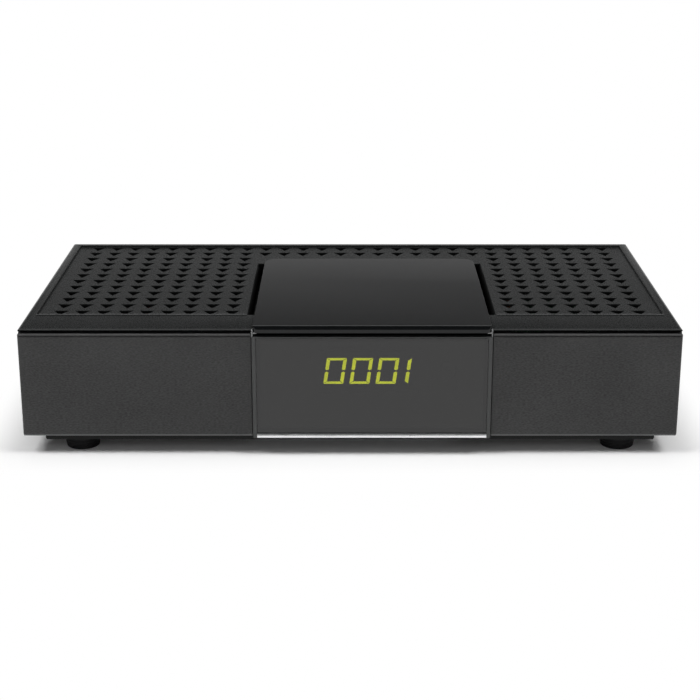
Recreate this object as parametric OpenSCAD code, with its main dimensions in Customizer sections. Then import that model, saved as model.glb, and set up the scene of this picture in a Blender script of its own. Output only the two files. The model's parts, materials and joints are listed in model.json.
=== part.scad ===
// Compact cable television receiver: a moulded cover on a shallow tray, a textured front
// panel with a smoked display window, a gloss top fascia, and a rear panel of sockets
// that are soldered to one main board. All sizes are in millimetres.
// The object stands on z = 0 and faces -Y, and the origin is under the middle of its box.

/* [Case] */
// Width of the cover and of the front panel
case_w = 220; // [200:1:260]
// Depth from the face of the front panel to the rear edge of the cover
case_d = 115; // [112:1:140]
// Height of the cover's top above the surface it stands on
case_h = 44; // [42:0.5:56]
// Height of the lower edge of the cover and front panel
skirt_z = 6.5; // [6:0.5:9]
// Thickness of the cover's side walls
wall = 2.2; // [1.6:0.1:2.4]
// Thickness of the cover's top plate
top_t = 1.4; // [1.3:0.1:2.2]
// Rounding of the cover's long top edges
edge_r = 1.2; // [0.6:0.1:1.4]
// Gap between parts that are fitted into each other
fit_gap = 0.2; // [0.1:0.05:0.3]

/* [Grille] */
// Width of a triangular vent
vent_w = 5.3; // [3:0.1:6]
// Length of a triangular vent from its flat side to its tip
vent_l = 5; // [3:0.1:6]
// Distance between vents along the width
vent_pitch_x = 7.33; // [6.5:0.01:9]
// Distance between vents along the depth
vent_pitch_y = 7.9; // [7:0.1:9]
// Depth by which the vented field lies below the cover's rim
field_depth = 0.5; // [0.3:0.1:0.8]
// Width of the plain rim beside and behind the vented field
field_rim = 3.5; // [3:0.1:6]
// Depth of the plain strip in front of the vented field
field_front = 16.8; // [16:0.1:20]

/* [Fascia] */
// Width of the gloss fascia and of the bezel below it
fascia_w = 78.8; // [76:0.1:90]
// How far the fascia and bezel sit to the right of the middle
fascia_x = 7.3; // [4:0.1:10]
// Depth of the fascia from the front panel's face to its rear edge
fascia_l = 87; // [80:1:90]
// Height of the fascia above the cover's rim
fascia_rise = 1.2; // [0.6:0.1:1.4]
// Height of the fascia's front nose
nose_h = 2.25; // [2:0.05:2.6]
// Radius of the fascia's rear corners
fascia_corner = 5; // [3:0.5:8]
// Width of the shadow gap on both sides of the fascia
slot_w = 2; // [1.6:0.1:2.6]
// Thickness of the fascia's skin
fascia_t = 1.8; // [1.4:0.1:2.2]

/* [Front] */
// Thickness of the front panel
panel_t = 2.6; // [2.4:0.1:3.2]
// Depth of the bezel's seat in the front panel
seat_d = 1.4; // [1.2:0.1:1.6]
// How far the bezel stands in front of the panel's face
bezel_proud = 0.6; // [0.3:0.1:1]
// Width of the bezel's visible side strips
bezel_rim = 1.4; // [1:0.1:2]
// How far the bezel reaches below the panel's lower edge
bezel_drop = 0.6; // [0.5:0.1:1.6]
// Thickness of the smoked window
window_t = 1.6; // [1.2:0.1:1.8]
// Height of the bright trim strip
trim_h = 1.45; // [1:0.05:1.6]

/* [Display] */
// Height of the digits
digit_h = 9; // [8:0.1:9.4]
// Width of a digit
digit_w = 6.7; // [5.6:0.1:7.2]
// Distance between digits
digit_pitch = 8.7; // [8.4:0.1:9]
// Lean of the digits in degrees
digit_lean = 8; // [0:1:12]
// Width of a standing bar
bar_w = 1.2; // [0.9:0.05:1.5]
// Height of a lying bar
bar_h = 0.8; // [0.6:0.05:1.2]
// Distance of the digits' middle below the front panel's top edge
digit_drop = 13.1; // [12.8:0.1:15]

/* [Feet] */
// Radius of a foot where it meets the tray
foot_r = 6.1; // [5:0.1:6.2]
// Height of a foot below its pad
foot_h = 3.8; // [3.6:0.1:4.4]
// Distance of the feet from the sides of the case
foot_side = 18.5; // [18:0.5:26]
// Distance of the front feet behind the front panel's face
foot_front = 9.5; // [9.5:0.5:14]
// Distance of the rear feet in front of the cover's rear edge
foot_rear = 14; // [12:0.5:16]

/* [Boards] */
// Room beside the main board, counted over both of its ends
board_side = 40; // [36:1:44]
// Depth of the main board
board_l = 78; // [76:1:80]
// Thickness of the boards
board_t = 1.6; // [1.2:0.1:2]
// Height of the main board's lower face
board_z = 12; // [11.5:0.1:13]

/* [Power switch] */
// Radius of the rocker's round body
rocker_r = 7.9; // [7.5:0.1:8]
// Width of the rocker
rocker_w = 10; // [9:0.1:10.4]
// Tilt of the rocker to either side of the middle, in degrees
rocker_tilt = 11; // [8:1:12]

/* [Hidden] */

$fn = 48;
// A cut or a hole passes the faces it opens by this much
over = 1;
// Gap of a snug fit, such as a screw in its bore or a pin in its bearing
snug = 0.05;
// Facets in the quarter arc of a small rounding
quarter_steps = 6;

// Colours of the mouldings, the boards and the metal
case_colour = "#323333";
gloss_colour = "#141516";
smoke_colour = "#3f4041";
rubber_colour = "#0d0d0e";
steel_colour = "#b8babd";
board_colour = "#1d5a38";
chip_colour = "#1a1a1c";
lit_colour = "#c4d60a";

// Levels of the case from the surface up
seam = 0.9;
lip_t = 0.6;
lip_r = 0.3;
lip_back = 0.5;
panel_top = case_h - lip_t - seam;
plate_z = case_h - top_t;
field_z = case_h - field_depth;
tray_t = 2;
pad_h = 0.4;
tray_z = foot_h + pad_h;
floor_z = tray_z + tray_t;
flange_t = 2;
flange_z = skirt_z + flange_t;

// The case in plan
case_hw = case_w / 2;
inner_hw = case_hw - wall;
field_hw = case_hw - field_rim;
field_end = case_d - field_rim;
rib_w = 0.5;
rib_h = 0.2;
foot_x = case_hw - foot_side;

// The fascia and the bezel in plan and height
fascia_x0 = fascia_x - fascia_w / 2;
fascia_x1 = fascia_x + fascia_w / 2;
fascia_top = case_h + fascia_rise;
nose_run = 1.5;
nose_face = 1.2;
nose_corner = 1.6;
nose_gap = 1.4;
nose_v = nose_run - bezel_proud;
nose_z = fascia_top - nose_h;
well_depth = 5;
well_z = case_h - well_depth;
well_t = 1.8;
slot_taper = 1;
well_wall = slot_taper;
slot_taper_h = 1.6;
slot_past = 4;
slot_end = fascia_l - fascia_corner + slot_past;
peg_r = 1.5;
peg_head_r = 2.4;
peg_head_h = 1;
peg_in = 9;
peg_front = 24;
peg_rear = 12;
peg_v = [peg_front, fascia_l - peg_rear];

// Roundings of the front panel: its corners, its long edges and its ends
panel_corner = 0.8;
panel_edge = 0.6;
panel_side = 1;

// A fine groove along the panel's face, under its upper edge
line_drop = 0.7;
line_h = 0.4;
line_d = 0.4;

// The bezel and window
bezel_z0 = skirt_z - bezel_drop;
bezel_z1 = nose_z - nose_gap;
bezel_bar = 2;
bezel_edge = 0.5;
bezel_side = 0.5;
bezel_w = fascia_w + 2 * bezel_side;
bezel_x0 = fascia_x - bezel_w / 2;
bezel_x1 = fascia_x + bezel_w / 2;
window_w = bezel_w - 2 * bezel_rim;
window_z0 = bezel_z0 + bezel_bar;
bezel_top_bar = 0.4;
window_z1 = bezel_z1 - bezel_top_bar;
window_in = 0.1;
window_v0 = -bezel_proud + window_in;
window_v1 = window_v0 + window_t;
ledge = 1.5;
trim_z = bezel_z0 + bezel_bar / 2 - snug;

// The display behind the window
digit_count = 4;
shown = [0, 0, 0, 1];
digit_z = panel_top - digit_drop;
digit_shift = 0.8;
one_in = 4.55;
bar_gap = 0.12;
bar_mid_gap = 0.25;
bar_tip = 0.3;
digit_x = fascia_x + digit_shift;
led_margin_x = 3;
led_margin_z = 5;
led_w = digit_pitch * digit_count + led_margin_x;
led_h = digit_h + led_margin_z;
led_gap = 0.1;
led_v = seat_d + led_gap;
led_d = 8;
lit_t = 0.25;
display_v = led_v + led_d;
display_t = 1.2;
display_w = 66;
display_h = 20;
display_below = 13.5;
display_z0 = digit_z - display_below;
display_shift = 1;
display_x = fascia_x + display_shift;
display_post_in = 4;
display_post_x = [display_x - display_w / 2 + display_post_in, display_x + display_w / 2 - display_post_in];
display_post_drop = 10;
display_post_z = digit_z - display_post_drop;
post_r = 2.5;
ir_in = 9;
ir_x = display_x + display_w / 2 - ir_in;
ir_r = 2.4;
ir_w = 6;
ir_h = 7;
ir_d = 3.5;

// Fasteners
screw_r = 1.2;
screw_l = 10;
screw_head_r = 2.2;
screw_head_h = 1.6;
driver_r = 0.9;
driver_h = 0.9;
small_screw_l = 6;
screw_tip_gap = 0.5;

// Posts of the cover that stand on the tray's flange
case_post_r = 2.5;
case_post_gap = 0.1;
case_post_x = inner_hw - case_post_r - case_post_gap;
case_post_front = 22;
case_post_rear = 15;
case_post_v = [case_post_front, case_d - case_post_rear];
case_post_h = 15;
post_web = 2;
rim_t = 2;
rim_h = 6;
rim_gap = 0.3;
rim_x = inner_hw - rim_gap;
plateau_in = 7;
plateau_hw = case_hw - plateau_in;
plateau_wall = 2;
plateau_cut = 0.4;

// Front edge of the tray and its hooks
tray_gap = 0.4;
tray_v0 = panel_t + tray_gap;
upstand_t = 1.6;
upstand_h = 4.4;
hook_w = 14;
hook_t = 1.6;
hook_l = 2.8;
hook_x = [-63, 71];
tab_t = 1.8;
tab_l = 6;

// Rear panel and the sill that holds it
rear_t = 1;
rear_in = 2.5;
rear_v1 = case_d - rear_in;
rear_v0 = rear_v1 - rear_t;
sill_t = 1.8;
sill_h = 2.4;
groove = 0.1;
lip_h = 3.5;

// Feet and the pads and holes that hold them
foot_v = [foot_front, case_d - foot_rear];
foot_taper = 0.5;
foot_round = 0.5;
pad_rim = 0.3;
stud_r = 1.9;
stud_gap = 0.1;
barb_r = 2.7;
barb_rim = 0.7;
barb_tip_r = 1.5;
barb_h = 1.8;

// Main board and its place
board_x = 8;
board_w = case_w - board_side;
board_x0 = board_x - board_w / 2;
board_rear_gap = 3.5;
board_v1 = rear_v0 - board_rear_gap;
board_v0 = board_v1 - board_l;
board_top = board_z + board_t;
standoff_r = 3;
standoff_in = 4;
standoff_x = [board_x0 + standoff_in, board_x0 + board_w - standoff_in];
standoff_rear = 34;
standoff_v = [board_v0 + standoff_in, board_v1 - standoff_rear];

// Heights of the sockets' middles above the main board
antenna_up = 9;
audio_up = 7;
usb_up = 3.6;
video_up = 3.6;
dc_up = 6;
switch_up = 8.6;
antenna_z = board_top + antenna_up;
audio_z = board_top + audio_up;
usb_z = board_top + usb_up;
video_z = board_top + video_up;
dc_z = board_top + dc_up;
switch_z = board_top + switch_up;

// Tuner and its coaxial sockets
can_w = 34;
can_l = 28;
can_h = 18;
can_t = 0.6;
tuner_size = [7, 7, 1];
can_gap = 2;
can_v1 = rear_v0 - can_gap;
coax_pitch = 16;
coax_l = 12.5;
coax_end = can_v1 + coax_l;
coax_flange_r = 6.6;
coax_flange_t = 1;
coax_gap = 0.5;
in_r = 5.5;
in_bore_r = 4.78;
contact_r = 1.9;
contact_bore_r = 1.25;
contact_l = 7.5;
out_r = 4.75;
out_bore_r = 4.1;
pin_r = 1.2;
pin_l = 10;
bead_l = 3;

// Phono socket for digital audio
audio_w = 11;
audio_h = 13.5;
audio_l = 12;
audio_boss_r = 5.1;
audio_boss_l = 2;
barrel_r = 4.15;
barrel_bore_r = 3.4;
barrel_l = 8;
barrel_root_r = 3.85;
barrel_root_in = 3;
barrel_root = rear_v0 - audio_l + barrel_root_in;
barrel_v = rear_v0 + audio_boss_l;
phono_r = 1.65;
phono_in = 1;

// Rectangular sockets
socket_out = 0.8;
socket_end = rear_v1 + socket_out;
socket_back = 3;
tongue_in = 1.4;
usb_w = 13.2;
usb_h = 5.8;
usb_l = 14;
usb_t = 0.4;
usb_tongue_w = 11;
usb_tongue_t = 1.9;
usb_tongue_gap = 0.7;
video_w = 15;
video_h = 5.6;
video_l = 12;
video_t = 0.45;
video_tongue_w = 11.2;
video_tongue_t = 1;
video_cut = 2;
scart_w = 52;
scart_h = 17;
scart_l = 20;
scart_cut = 5;
scart_rim = 2;
scart_gap = 1.8;
scart_groove_l = 9;
scart_shield_t = 0.4;
scart_slots = 10;
scart_pitch = 3.81;
scart_slot_w = 1.3;
scart_slot_h = 3.6;
scart_slot_l = 7;
scart_row = 3.1;
scart_shift = 1.6;
scart_shield_in = 0.5;
dc_w = 9.4;
dc_h = 11;
dc_l = 13.5;
dc_nose_r = 4.2;
dc_bore_r = 3.15;
dc_bore_l = 9.5;
dc_pin_r = 1.05;
dc_pin_l = 8.5;

// Rocker switch
switch_flange_w = 15;
switch_flange_h = 21;
switch_flange_t = 2;
switch_w = 12.8;
switch_h = 18.8;
switch_l = 15;
rocker_gap = 0.25;
rocker_side_gap = 0.2;
rocker_valley = 1.6;
rocker_back = 3;
pivot_v = rear_v1 + switch_flange_t / 2;
trunnion_r = 1;
trunnion_l = 1;
stem_w = 4.4;
stem_l = 6.2;
plunger_r = 1;
plunger_bore_l = 2;
plunger_l = 3.9;
chamber_l = 12.2;
chamber_w = 6;
chamber_h = 13.2;
contact_t = 1.4;
contact_w = 5;
contact_len = 12;
contact_tilt = 8;
contact_at = 10.2;
fulcrum_r = 0.6;
terminal_w = 4.8;
terminal_t = 0.8;
terminal_out = 6;
terminal_z = [0, -5.4];
fixed_at = 11.2;

// The switch, the sockets and the tuner stand in a row along the rear with equal gaps
row_widths = [switch_flange_w, dc_w, scart_w, video_w, usb_w, audio_w, can_w];
row_left = 7.3;
row_right = 12.8;
function total(widths, n) = n == 0 ? 0 : widths[n - 1] + total(widths, n - 1);
row_room = 2 * inner_hw - row_left - row_right - total(row_widths, len(row_widths));
row_gap = row_room / (len(row_widths) - 1);
function row_x(i) = -inner_hw + row_left + total(row_widths, i) + i * row_gap + row_widths[i] / 2;
switch_x = row_x(0);
dc_x = row_x(1);
scart_x = row_x(2);
video_x = row_x(3);
usb_x = row_x(4);
audio_x = row_x(5);
can_x = row_x(6);
antenna_in_x = can_x + coax_pitch / 2;
antenna_out_x = can_x - coax_pitch / 2;

// Parts on the main board: distances of their middles from its left end and its front edge
chip_x = 98;
chip_v = 34;
chip_w = 19;
chip_h = 1.3;
sink_w = 30;
sink_base = 2;
sink_h = 11;
sink_fins = 8;
fin_t = 1.2;
memory_size = [9, 13, 1.1];
memory_v = [26, 42];
memory_x = 74;
flash_size = [8, 6, 1.7];
flash_x = 124;
flash_v = 20;
crystal_w = 11;
crystal_l = 4.6;
crystal_h = 3.4;
crystal_r = 2.2;
crystal_x = 124;
crystal_v = 36;
// Each can has its place, its radius and its height
can_caps = [[12, 34, 4, 12], [22, 44, 4, 12], [12, 46, 3.2, 9], [52, 22, 3.2, 8], [138, 30, 3.2, 8]];
coil_size = [7, 7, 3.8];
coils = [[32, 30], [32, 42], [56, 40]];
regulator_size = [5, 4, 1.5];
regulators = [[22, 22], [42, 22], [44, 34]];
passive_size = [1.6, 0.8, 0.7];
passive_cols = 12;
passive_rows = 2;
passive_pitch = 4.2;
passive_x = 74;
passive_v = 12;

// Ribbon between the boards
ribbon_side = 14;
ribbon_x = display_x - ribbon_side;
ribbon_w = 15;
ribbon_t = 0.35;
ribbon_socket_w = 18;
ribbon_socket_h = 3;
ribbon_socket_l = 4.5;
ribbon_in = 3;
ribbon_v = board_v0 + ribbon_in;
display_socket_up = 5;
display_socket_z = display_z0 + display_socket_up;

// Leads of the switch, as points chosen along their way to the header
lead_r = 0.75;
lead_gap = 0.1;
lead_pitch = 3;
lead_straight = 5;
lead_side = 6;
lead_reach = 11;
lead_lift = 3;
lead_bow = 7;
lead_drop = 4;
header_in = 12;
header_back = 56;
header_x = board_x0 + header_in;
header_v = board_v0 + header_back;
header_size = [6.4, 5, 6];

// Overall depth, from the front of the trim to the end of the antenna sockets
front_v = -bezel_proud - trim_h / 2;
back_v = coax_end;
front_y = -(front_v + back_v) / 2;

function arc(x, y, r, from, to, n = quarter_steps) =
    [for (i = [0:n]) let (a = from + (to - from) * i / n) [x + r * cos(a), y + r * sin(a)]];
function rounded(x0, y0, x1, y1, r) = concat(
    arc(x1 - r, y1 - r, r, 0, 90), arc(x0 + r, y1 - r, r, 90, 180),
    arc(x0 + r, y0 + r, r, 180, 270), arc(x1 - r, y0 + r, r, 270, 360));
function mirrored(points) = [for (i = [len(points) - 1:-1:0]) [-points[i][0], points[i][1]]];

// Everything is drawn with the front panel's face at y = 0 and then moved into place
module placed() translate([0, front_y, 0]) children();
// An outline of x and z, as seen from the front, drawn out along the depth
module extrude_y(v0, v1) translate([0, v1, 0]) rotate([90, 0, 0]) linear_extrude(v1 - v0) children();
// An outline of depth and z, as seen from the side, drawn out along the width
module extrude_x(x0, x1) translate([x0, 0, 0]) rotate([90, 0, 90]) linear_extrude(x1 - x0) children();
// An outline of x and depth, as seen from above, drawn up
module extrude_z(z0, z1) translate([0, 0, z0]) linear_extrude(z1 - z0) children();
module block(x0, v0, z0, x1, v1, z1) translate([x0, v0, z0]) cube([x1 - x0, v1 - v0, z1 - z0]);
// A block of width w about a middle x
module slab(x, w, v0, v1, z0, z1) block(x - w / 2, v0, z0, x + w / 2, v1, z1);
// A round bar along the depth, from v0 to v1
module bar_y(x, z, r, v0, v1) translate([x, v0, z]) rotate([-90, 0, 0]) cylinder(r = r, h = v1 - v0);
module bar_z(x, v, r, z0, z1) translate([x, v, z0]) cylinder(r = r, h = z1 - z0);
module ring_y(x, z, r, bore, v0, v1) difference() {
    bar_y(x, z, r, v0, v1);
    bar_y(x, z, bore, v0 - over, v1 + over);
}
// A part on the main board, by its middle
module on_board(x, v, size)
    translate([board_x0 + x - size[0] / 2, board_v0 + v - size[1] / 2, board_top]) cube(size);

// A pan-head screw that points up from the underside of its head
module screw(length) {
    difference() {
        translate([0, 0, -screw_head_h]) cylinder(r = screw_head_r, h = screw_head_h);
        translate([0, 0, -screw_head_h - over]) cylinder(r = driver_r, h = driver_h + over, $fn = 6);
    }
    cylinder(r = screw_r, h = length);
}

// Case

module tray_section() {
    half = [
        [plateau_hw - plateau_cut, tray_z], [plateau_hw, tray_z + plateau_cut], [plateau_hw, skirt_z],
        [rim_x, skirt_z], [rim_x, flange_z + rim_h], [rim_x - rim_t, flange_z + rim_h],
        [rim_x - rim_t, flange_z], [plateau_hw - plateau_wall, flange_z], [plateau_hw - plateau_wall, floor_z]
    ];
    polygon(concat(half, mirrored(half)));
}

module floor_slots() {
    slot_r = 1.5;
    slot_l = 24;
    slot_first = 12;
    slot_pitch = 10;
    slot_rows_gap = 12;
    for (side = [-1, 1], i = [0:5], row = [0, 1]) {
        x = side * (slot_first + slot_pitch * i);
        v = case_d * 0.3 + row * (slot_l + slot_rows_gap);
        extrude_z(tray_z - over, floor_z + over) {
            translate([x - slot_r, v]) square([2 * slot_r, slot_l]);
            translate([x, v]) circle(slot_r);
            translate([x, v + slot_l]) circle(slot_r);
        }
    }
}

module bottom_tray() color(case_colour) placed() difference() {
    union() {
        extrude_y(tray_v0, case_d - fit_gap) tray_section();
        slab(0, 2 * plateau_hw, tray_v0, tray_v0 + upstand_t, tray_z + plateau_cut, floor_z + upstand_h);
        slab(0, 2 * (plateau_hw - plateau_wall + fit_gap), rear_v0 - sill_t, rear_v1 + sill_t,
             floor_z - fit_gap, flange_z);
        for (v = [rear_v0 - sill_t - groove, rear_v1 + groove])
            slab(0, 2 * (rim_x - rim_t), v, v + sill_t, flange_z - fit_gap, flange_z + sill_h);
        for (x = standoff_x, v = standoff_v) bar_z(x, v, standoff_r, floor_z - fit_gap, board_z);
        for (x = [-foot_x, foot_x], v = foot_v)
            bar_z(x, v, foot_r + pad_rim, tray_z - pad_h, tray_z + fit_gap);
    }
    for (x = standoff_x, v = standoff_v)
        bar_z(x, v, screw_r + snug, board_z - small_screw_l, board_z + over);
    for (x = [-foot_x, foot_x], v = foot_v) bar_z(x, v, stud_r + stud_gap, tray_z - over, floor_z + over);
    for (x = [-case_post_x, case_post_x], v = case_post_v) {
        bar_z(x, v, screw_r + fit_gap, skirt_z - over, flange_z + over);
        bar_z(x, v, case_post_r + fit_gap, flange_z, flange_z + rim_h + over);
    }
    slab(0, 2 * (rim_x + over), rear_v0 - groove, rear_v1 + groove, flange_z, flange_z + rim_h + over);
    floor_slots();
}

module cover_form() intersection() {
    extrude_y(lip_back, case_d) polygon(concat(
        [[-case_hw, skirt_z], [case_hw, skirt_z]],
        arc(case_hw - edge_r, case_h - edge_r, edge_r, 0, 90),
        arc(-case_hw + edge_r, case_h - edge_r, edge_r, 90, 180)));
    extrude_x(-case_hw - over, case_hw + over) polygon(concat(
        [[lip_back, skirt_z - over], [case_d, skirt_z - over]],
        arc(case_d - edge_r, case_h - edge_r, edge_r, 0, 90),
        arc(lip_back + lip_r, case_h - lip_r, lip_r, 90, 180)));
}

module cover_hollow() {
    block(-inner_hw, -over, skirt_z - over, inner_hw, rear_v1 + groove, plate_z);
    block(-inner_hw, rear_v1, skirt_z - over, inner_hw, case_d + over, case_h - lip_h);
    block(-case_hw - over, -over, skirt_z - over, case_hw + over, panel_t + fit_gap, panel_top + seam);
}

// Plan of the fascia, grown by a gap on every side, with front corners that are square or rounded
module fascia_plan(gap, front) {
    r = fascia_corner + gap;
    x0 = fascia_x0 - gap;
    x1 = fascia_x1 + gap;
    v1 = fascia_l + gap;
    polygon(concat(front, arc(x1 - r, v1 - r, r, 0, 90), arc(x0 + r, v1 - r, r, 90, 180)));
}

module fascia_well() {
    side = slot_w + well_wall;
    slab(fascia_x, fascia_w + 2 * side, panel_t + fit_gap, fascia_l + side,
         well_z - well_t, plate_z + fit_gap);
}

module fascia_well_cut() {
    extrude_z(well_z, fascia_top + over) fascia_plan(fit_gap, [
        [fascia_x0 - fit_gap, -bezel_proud - over], [fascia_x1 + fit_gap, -bezel_proud - over]]);
    slab(fascia_x, fascia_w + 2 * slot_w, field_front, slot_end, well_z, fascia_top + over);
    for (side = [-1, 1]) {
        edge = side < 0 ? fascia_x0 - slot_w : fascia_x1 + slot_w;
        extrude_y(field_front, slot_end) polygon([
            [edge + side * slot_taper, field_z], [edge + side * slot_taper, field_z + over],
            [edge - side * fit_gap, field_z + over], [edge - side * fit_gap, field_z - slot_taper_h],
            [edge, field_z - slot_taper_h]]);
    }
}

module vents() {
    margin_x = 7.4;
    margin_front = 4.2;
    margin_rear = 3.4;
    columns = floor(2 * (field_hw - margin_x) / vent_pitch_x) + 1;
    rows = floor((field_end - margin_rear - field_front - margin_front) / vent_pitch_y) + 1;
    x_first = -(columns - 1) * vent_pitch_x / 2;
    keep_out = slot_w + slot_taper + vent_w / 2;
    for (i = [0:columns - 1], j = [0:rows - 1]) {
        x = x_first + i * vent_pitch_x;
        v = field_front + margin_front + j * vent_pitch_y;
        under_fascia = x > fascia_x0 - keep_out && x < fascia_x1 + keep_out
                       && v < fascia_l + well_wall + slot_w + vent_l / 2;
        if (!under_fascia) translate([x, v]) extrude_z(plate_z - over, case_h + over)
            polygon([[-vent_w / 2, vent_l / 2], [0, -vent_l / 2], [vent_w / 2, vent_l / 2]]);
    }
}

module top_cover() color(case_colour) placed() difference() {
    union() {
        difference() {
            cover_form();
            cover_hollow();
        }
        fascia_well();
        slab(0, 2 * field_hw, field_front, field_front + rib_w, plate_z, case_h + rib_h);
        for (x = [-case_post_x, case_post_x], v = case_post_v) {
            bar_z(x, v, case_post_r, flange_z, flange_z + case_post_h);
            slab(x + sign(x) * case_post_r / 2, case_post_r + 2 * fit_gap, v - post_web / 2, v + post_web / 2,
                 flange_z + rim_h, flange_z + case_post_h);
        }
        slab(0, 2 * (inner_hw + fit_gap), rear_v0 - groove - sill_t, rear_v0 - groove,
             plate_z - sill_h, plate_z + fit_gap);
    }
    fascia_well_cut();
    slab(0, 2 * field_hw, field_front + rib_w, field_end, field_z, case_h + over);
    vents();
    for (x = [-case_post_x, case_post_x], v = case_post_v)
        bar_z(x, v, screw_r + snug, flange_z - over, flange_z + screw_l);
    for (x = [fascia_x0 + peg_in, fascia_x1 - peg_in], v = peg_v)
        bar_z(x, v, peg_r + snug, well_z - well_t - over, well_z + over);
}

module front_panel() color(case_colour) placed() difference() {
    union() {
        intersection() {
            extrude_y(0, panel_t) polygon(rounded(-case_hw, skirt_z, case_hw, panel_top, panel_corner));
            extrude_x(-case_hw - over, case_hw + over) polygon(concat(
                [[panel_t, skirt_z - over], [panel_t, panel_top + over]],
                arc(panel_edge, panel_top - panel_edge, panel_edge, 90, 180),
                arc(panel_edge, skirt_z + panel_edge, panel_edge, 180, 270)));
            extrude_z(skirt_z - over, panel_top + over) polygon(concat(
                [[case_hw, panel_t], [-case_hw, panel_t]],
                arc(-case_hw + panel_side, panel_side, panel_side, 180, 270),
                arc(case_hw - panel_side, panel_side, panel_side, 270, 360)));
        }
        // Hooks that reach over the tray's upstand, and tabs under the cover's plate
        for (x = hook_x) {
            top = floor_z + upstand_h + fit_gap;
            hook_v = tray_v0 + upstand_t + fit_gap;
            slab(x, hook_w, panel_t - fit_gap, hook_v + hook_l, top, top + hook_t);
            slab(x, hook_w, hook_v, hook_v + hook_l, top - hook_t, top + fit_gap);
            slab(x, hook_w, panel_t - fit_gap, panel_t + tab_l, plate_z - fit_gap - tab_t, plate_z - fit_gap);
        }
        for (x = display_post_x) bar_y(x, display_post_z, post_r, panel_t - fit_gap, display_v);
    }
    seat_w = bezel_w + 2 * fit_gap;
    slab(fascia_x, seat_w, -over, seat_d, skirt_z - over, panel_top + over);
    slab(0, 2 * (case_hw + over), -over, line_d, panel_top - line_drop - line_h, panel_top - line_drop);
    slab(fascia_x, seat_w, -over, panel_t + over, bezel_z1 - fit_gap, panel_top + over);
    slab(digit_x, led_w + 2 * fit_gap, -over, panel_t + over,
         digit_z - led_h / 2 - fit_gap, digit_z + led_h / 2 + fit_gap);
    bar_y(ir_x, digit_z, ir_r + 2 * fit_gap, -over, panel_t + over);
    for (x = display_post_x)
        bar_y(x, display_post_z, screw_r + snug, display_v - small_screw_l + display_t, display_v + over);
}

module center_bezel() color(gloss_colour) placed() difference() {
    intersection() {
        extrude_y(-bezel_proud, seat_d)
            polygon(rounded(bezel_x0, bezel_z0, bezel_x1, bezel_z1, bezel_edge));
        extrude_z(bezel_z0 - over, bezel_z1 + over) polygon(concat(
            [[bezel_x1, seat_d], [bezel_x0, seat_d]],
            arc(bezel_x0 + bezel_edge, -bezel_proud + bezel_edge, bezel_edge, 180, 270),
            arc(bezel_x1 - bezel_edge, -bezel_proud + bezel_edge, bezel_edge, 270, 360)));
    }
    slab(fascia_x, window_w, -bezel_proud - over, window_v1, window_z0, window_z1);
    slab(fascia_x, window_w - 2 * ledge, -over, seat_d + over, window_z0 + ledge, window_z1 - ledge);
}

module display_window() color(smoke_colour) placed()
    slab(fascia_x, window_w - 2 * snug, window_v0, window_v1, window_z0 + snug, window_z1 - snug);

module trim_strip() color("#e8e9ea") placed()
    extrude_x(fascia_x - window_w / 2, fascia_x + window_w / 2)
        polygon(arc(-bezel_proud, trim_z, trim_h / 2, 90, 270, 2 * quarter_steps));

// The fascia's skin is a shallow arch that ends in a nose with a sloping and an upright face
module top_fascia() color(gloss_colour) placed() {
    arch = 0.25;
    arch_r = (fascia_l - nose_v) * (fascia_l - nose_v) / 8 / arch;
    half = asin((fascia_l - nose_v) / 2 / arch_r);
    mid = (fascia_l + nose_v) / 2;
    difference() {
        intersection() {
            extrude_x(fascia_x0, fascia_x1) polygon(concat(
                [[fascia_l, well_z], [panel_t + 2 * fit_gap, well_z], [panel_t + 2 * fit_gap, nose_z],
                 [-bezel_proud, nose_z], [-bezel_proud, nose_z + nose_face]],
                arc(mid, fascia_top - arch_r * cos(half), arch_r, 90 + half, 90 - half, 2 * quarter_steps)));
            extrude_z(well_z - over, fascia_top + arch + over) fascia_plan(0, concat(
                arc(fascia_x0 + nose_corner, nose_corner - bezel_proud, nose_corner, 180, 270),
                arc(fascia_x1 - nose_corner, nose_corner - bezel_proud, nose_corner, 270, 360)));
        }
        slab(fascia_x, fascia_w - 2 * fascia_t, panel_t + 2 * fit_gap + fascia_t, fascia_l - fascia_corner,
             well_z - over, fascia_top - fascia_t);
    }
    for (x = [fascia_x0 + peg_in, fascia_x1 - peg_in], v = peg_v) {
        bar_z(x, v, peg_r, well_z - well_t, fascia_top - fascia_t + fit_gap);
        bar_z(x, v, peg_head_r, well_z - well_t - peg_head_h, well_z - well_t);
    }
}

module rear_panel() color(steel_colour) placed() difference() {
    slab(0, 2 * (inner_hw - fit_gap), rear_v0, rear_v1, flange_z, plate_z - fit_gap);
    v0 = rear_v0 - over;
    v1 = rear_v1 + over;
    for (x = [antenna_in_x, antenna_out_x]) bar_y(x, antenna_z, in_r + coax_gap, v0, v1);
    bar_y(audio_x, audio_z, audio_boss_r + fit_gap, v0, v1);
    bar_y(dc_x, dc_z, dc_nose_r + fit_gap, v0, v1);
    for (s = [[usb_x, usb_z, usb_w, usb_h], [video_x, video_z, video_w, video_h],
              [scart_x, board_top + scart_h / 2, scart_w, scart_h], [switch_x, switch_z, switch_w, switch_h]])
        slab(s[0], s[2] + 2 * fit_gap, v0, v1, s[1] - s[3] / 2 - fit_gap, s[1] + s[3] / 2 + fit_gap);
}

// A push-in rubber foot, turned about its own axis
module rubber_foot(x, v) color(rubber_colour) placed() translate([x, v, 0]) rotate_extrude() polygon(concat(
    [[0, 0]], arc(foot_r - foot_taper - foot_round, foot_round, foot_round, 270, 360),
    [[foot_r, foot_h], [stud_r, foot_h], [stud_r, floor_z], [barb_r, floor_z], [barb_r, floor_z + barb_rim],
     [barb_tip_r, floor_z + barb_h], [0, floor_z + barb_h]]));

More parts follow.
